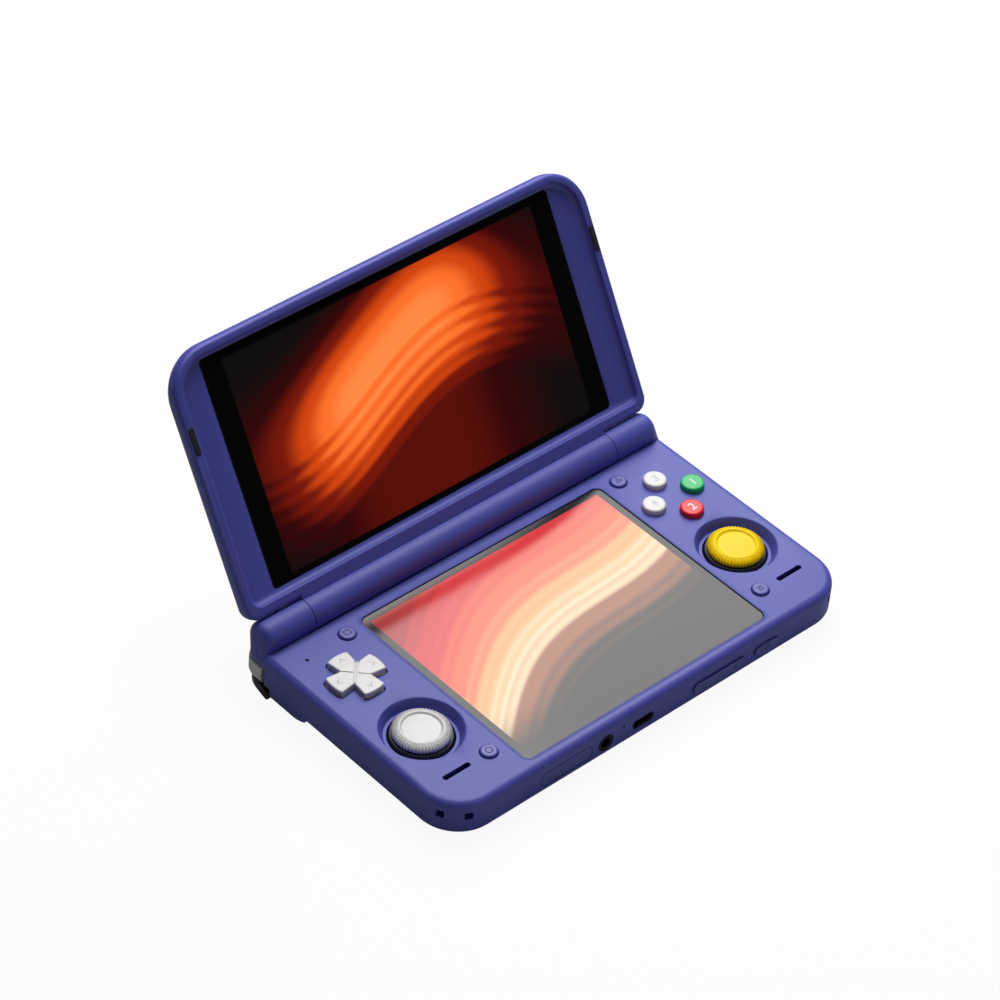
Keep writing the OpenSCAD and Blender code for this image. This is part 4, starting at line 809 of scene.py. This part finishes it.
def front_sign(name, mesh, node, body, shift=0):
    x, _, z = middle_of(node)
    bmesh.ops.rotate(mesh, cent=(0, 0, 0), matrix=facing_front, verts=mesh.verts)
    finished(name, mesh, (x + shift, sign_y, z), body, engraving_shade)


minus = bar_sign((level_bar,))
plus = bar_sign((level_bar, upper_bar, lower_bar))
front_sign("minus_sign", minus, "volume_rocker", "volume", -volume_sign_x)
front_sign("plus_sign", plus, "volume_rocker", "volume", volume_sign_x)
power_ring = ring_sign(corner_points(32, power_ring_r, 0), power_ring_line)
join_mesh(power_ring, bar_sign((power_bar,), power_bar_lift))
front_sign("power_sign", power_ring, "power_button", "power")

# The dark ring behind each gap is painted shade: it darkens the gap as the gap's own shadow would.
gap_shade_ring = moulded_plastic("gap_shade_ring", (0.006, 0.006, 0.012), roughness=0.8, grain=0.03, drift=0.1,
                             specular=0.1)
key_gap, ring_clearance, ring_depth, ring_y = 0.24, 0.07, 0.1, -0.0862
foot_inset = 0.6
arc_angles = [7.5 * step for step in range(25)]


def bar_outline(length, height, foot):
    half, radius = (length - height) / 2, height / 2
    outline = []
    for side, start in ((1, -90), (-1, 90)):
        for angle in (math.radians(start + turn) for turn in arc_angles):
            outline.append((side * half + radius * math.cos(angle), radius * math.sin(angle)))
    if foot:
        square = length / 2 - foot_inset
        outline = [point for point in outline if point[1] > foot]
        outline += [(-square, foot), (-square, -radius), (square, -radius), (square, foot)]
    return outline


for name, node, length, height, foot in (
    ("volume_gap_shade", "volume_rocker", 23.4, 3.8, 0),
    ("power_gap_shade", "power_button", 10.9, 3.8, 0),
    ("flap_gap_shade", "card_flap", 22.0, 5.4, -1.2),
):
    x, _, z = middle_of(node)
    outline = bar_outline(length + 2 * key_gap, height + 2 * key_gap, foot)
    shade_ring = ring_sign(outline, key_gap - ring_clearance)
    bmesh.ops.solidify(shade_ring, geom=shade_ring.faces[:], thickness=ring_depth)
    bmesh.ops.rotate(shade_ring, cent=(0, 0, 0), matrix=facing_front, verts=shade_ring.verts)
    finished(name, shade_ring, (x, ring_y, z), "base", gap_shade_ring)

# ---------------------------------------------------------------- shoulders and triggers
# White bumpers wrap the rear corners over black finger triggers. Both are
# moulded ABS on pins, the triggers with a coarser matt skin for grip.

shoulder_edge, trigger_edge = 0.0007, 0.0002
for side in ("left", "right"):
    shoulder = moulded_copy(side + "_shoulder_button", side + "_shoulder", shoulder_edge)
    dress(shoulder, white_abs)
    trigger = moulded_copy(side + "_trigger", side + "_trigger", trigger_edge)
    dress(trigger, black_satin)

# ---------------------------------------------------------------- rubber parts
# Bumper pads in the lid's rim and the feet under the base are soft black rubber,
# glued into shallow seats, matt and a little dusty.

bumper_edge, foot_edge = 0.0003, 0.0004
soft_rubber = moulded_plastic("soft_rubber", (0.016, 0.016, 0.017), roughness=0.78, grain=0.06, drift=0.25)
dress(moulded_copy("lid_bumpers", "lid", bumper_edge), soft_rubber)
dress(moulded_copy("rubber_feet", "base", foot_edge), soft_rubber)

# ---------------------------------------------------------------- ports and screws
# A plated steel charging socket, darkened with painted shade for its recess, a
# black headphone socket and a black exhaust grille sit in the base's walls. Four
# black cross-head screws close the case.

plated, tree, skin = new_material("plated_steel")
skin.inputs["Metallic"].default_value = 1.0
tarnish = noise(tree, tree.nodes.new("ShaderNodeTexCoord").outputs["Object"], scale=900, detail=3)
# The plating's colour is painted dark, as painted shade for the socket's recess; the noise varies its tone
# and polish at random.
shaded_plating_colors = ((0.3, (0.045, 0.045, 0.055)), (0.7, (0.10, 0.10, 0.115)))
plated_swing, plated_polish = 0.25, 0.2
polish = calc(tree, "MULTIPLY_ADD", tarnish, plated_swing, plated_polish)
tree.links.new(ramp(tree, tarnish, shaded_plating_colors), skin.inputs["Base Color"])
tree.links.new(polish, skin.inputs["Roughness"])


def dress_node(node, material):
    item = nodes[node]
    if not item.material_slots:
        item.data.materials.append(material)
    for holder in item.material_slots:
        holder.material = material


dress_node("usb_c_port", plated)
black_plastic = moulded_plastic("black_plastic", (0.007, 0.007, 0.008), roughness=0.5, grain=0.04, drift=0.1,
                                specular=0.14)
dress_node("headphone_jack", black_plastic)
dress_node("exhaust_grille", black_plastic)

black_oxide = moulded_plastic("black_oxide", (0.03, 0.03, 0.032), roughness=0.35, grain=0.03, drift=0.2)
black_oxide.node_tree.nodes["Principled BSDF"].inputs["Metallic"].default_value = 0.8
dress_node("case_screws", black_oxide)

# ---------------------------------------------------------------- circuit boards
# Five boards of green lacquered glass fibre, clipped and screwed inside, with
# copper tracks under the lacquer and gold-plated solder pads.

board_green, tree, skin = new_material("circuit_board")
skin.inputs["Coat Weight"].default_value = 0.4
place = tree.nodes.new("ShaderNodeTexCoord")
tracks = tree.nodes.new("ShaderNodeTexBrick")
tracks.inputs["Scale"].default_value = 420
tracks.inputs["Mortar Size"].default_value = 0.035
tracks.inputs["Color1"].default_value = (0.008, 0.085, 0.035, 1)
tracks.inputs["Color2"].default_value = (0.010, 0.105, 0.045, 1)
tracks.inputs["Mortar"].default_value = (0.02, 0.20, 0.07, 1)
pads = tree.nodes.new("ShaderNodeTexVoronoi")
pads.inputs["Scale"].default_value = 330
for texture in (tracks, pads):
    tree.links.new(place.outputs["Object"], texture.inputs["Vector"])
pad_size, gold_metal, gold_gloss, lacquer_roughness = 0.16, 0.9, 0.15, 0.4
pad_mask = calc(tree, "LESS_THAN", pads.outputs["Distance"], pad_size)
mix = tree.nodes.new("ShaderNodeMix")
mix.data_type = "RGBA"
mix.inputs["B"].default_value = (0.75, 0.52, 0.16, 1)
tree.links.new(pad_mask, mix.inputs["Factor"])
tree.links.new(tracks.outputs["Color"], mix.inputs["A"])
tree.links.new(mix.outputs["Result"], skin.inputs["Base Color"])
tree.links.new(calc(tree, "MULTIPLY", pad_mask, gold_metal), skin.inputs["Metallic"])
polish = calc(tree, "MULTIPLY_ADD", pad_mask, -gold_gloss, lacquer_roughness)
tree.links.new(polish, skin.inputs["Roughness"])
for node in ("main_board", "port_board", "left_control_board", "right_control_board", "lid_board"):
    dress_node(node, board_green)

# ---------------------------------------------------------------- inside the casings
# Frame, battery, cooler, speakers, stick sensors, hinge cartridges and displays,
# clipped and screwed between the boards. They show only through vents and gaps,
# but each has its own finish: steel, copper, film, wrap, plastic or silicone.

streak_swing = 0.2


def streaked(name, dark, pale, stretch, roughness, metallic=1.0):
    material, tree, skin = new_material(name)
    skin.inputs["Metallic"].default_value = metallic
    place = tree.nodes.new("ShaderNodeTexCoord")
    pull = tree.nodes.new("ShaderNodeMapping")
    pull.inputs["Scale"].default_value = stretch
    tree.links.new(place.outputs["Object"], pull.inputs["Vector"])
    lines = noise(tree, pull.outputs[0], scale=60, detail=5)
    tree.links.new(ramp(tree, lines, ((0.3, dark), (0.7, pale))), skin.inputs["Base Color"])
    polish = calc(tree, "MULTIPLY_ADD", lines, streak_swing, roughness)
    tree.links.new(polish, skin.inputs["Roughness"])
    return material


rolled_steel = streaked("rolled_steel", (0.45, 0.45, 0.46), (0.62, 0.62, 0.62), (2, 90, 90), 0.25)
copper = streaked("copper_cooler", (0.60, 0.26, 0.15), (0.80, 0.40, 0.24), (60, 4, 60), 0.22)
film = streaked("cable_film", (0.40, 0.20, 0.03), (0.55, 0.30, 0.05), (120, 4, 4), 0.3, metallic=0.0)
wrap = streaked("battery_wrap", (0.020, 0.020, 0.024), (0.045, 0.045, 0.050), (6, 6, 6), 0.35, metallic=0.0)
panel = streaked("display_module", (0.010, 0.010, 0.012), (0.030, 0.030, 0.034), (3, 60, 60), 0.2,
                 metallic=0.3)
silicone = moulded_plastic("silicone_mat", (0.42, 0.42, 0.43), roughness=0.62, grain=0.03, drift=0.1)
for finish, inner_nodes in (
    (rolled_steel, ("mid_frame", "card_reader", "left_stick_gimbal", "right_stick_gimbal",
                    "left_hinge_cartridge", "right_hinge_cartridge")),
    (copper, ("heat_sink",)),
    (film, ("display_cable",)),
    (wrap, ("battery",)),
    (panel, ("lower_display_panel", "upper_display_panel")),
    (silicone, ("left_button_mat", "right_button_mat")),
    (black_plastic, ("fan_housing", "fan_impeller", "left_speaker", "right_speaker", "left_stick_housing",
                     "right_stick_housing", "left_stick_stem", "right_stick_stem", "pad_rocker")),
):
    for node in inner_nodes:
        dress_node(node, finish)
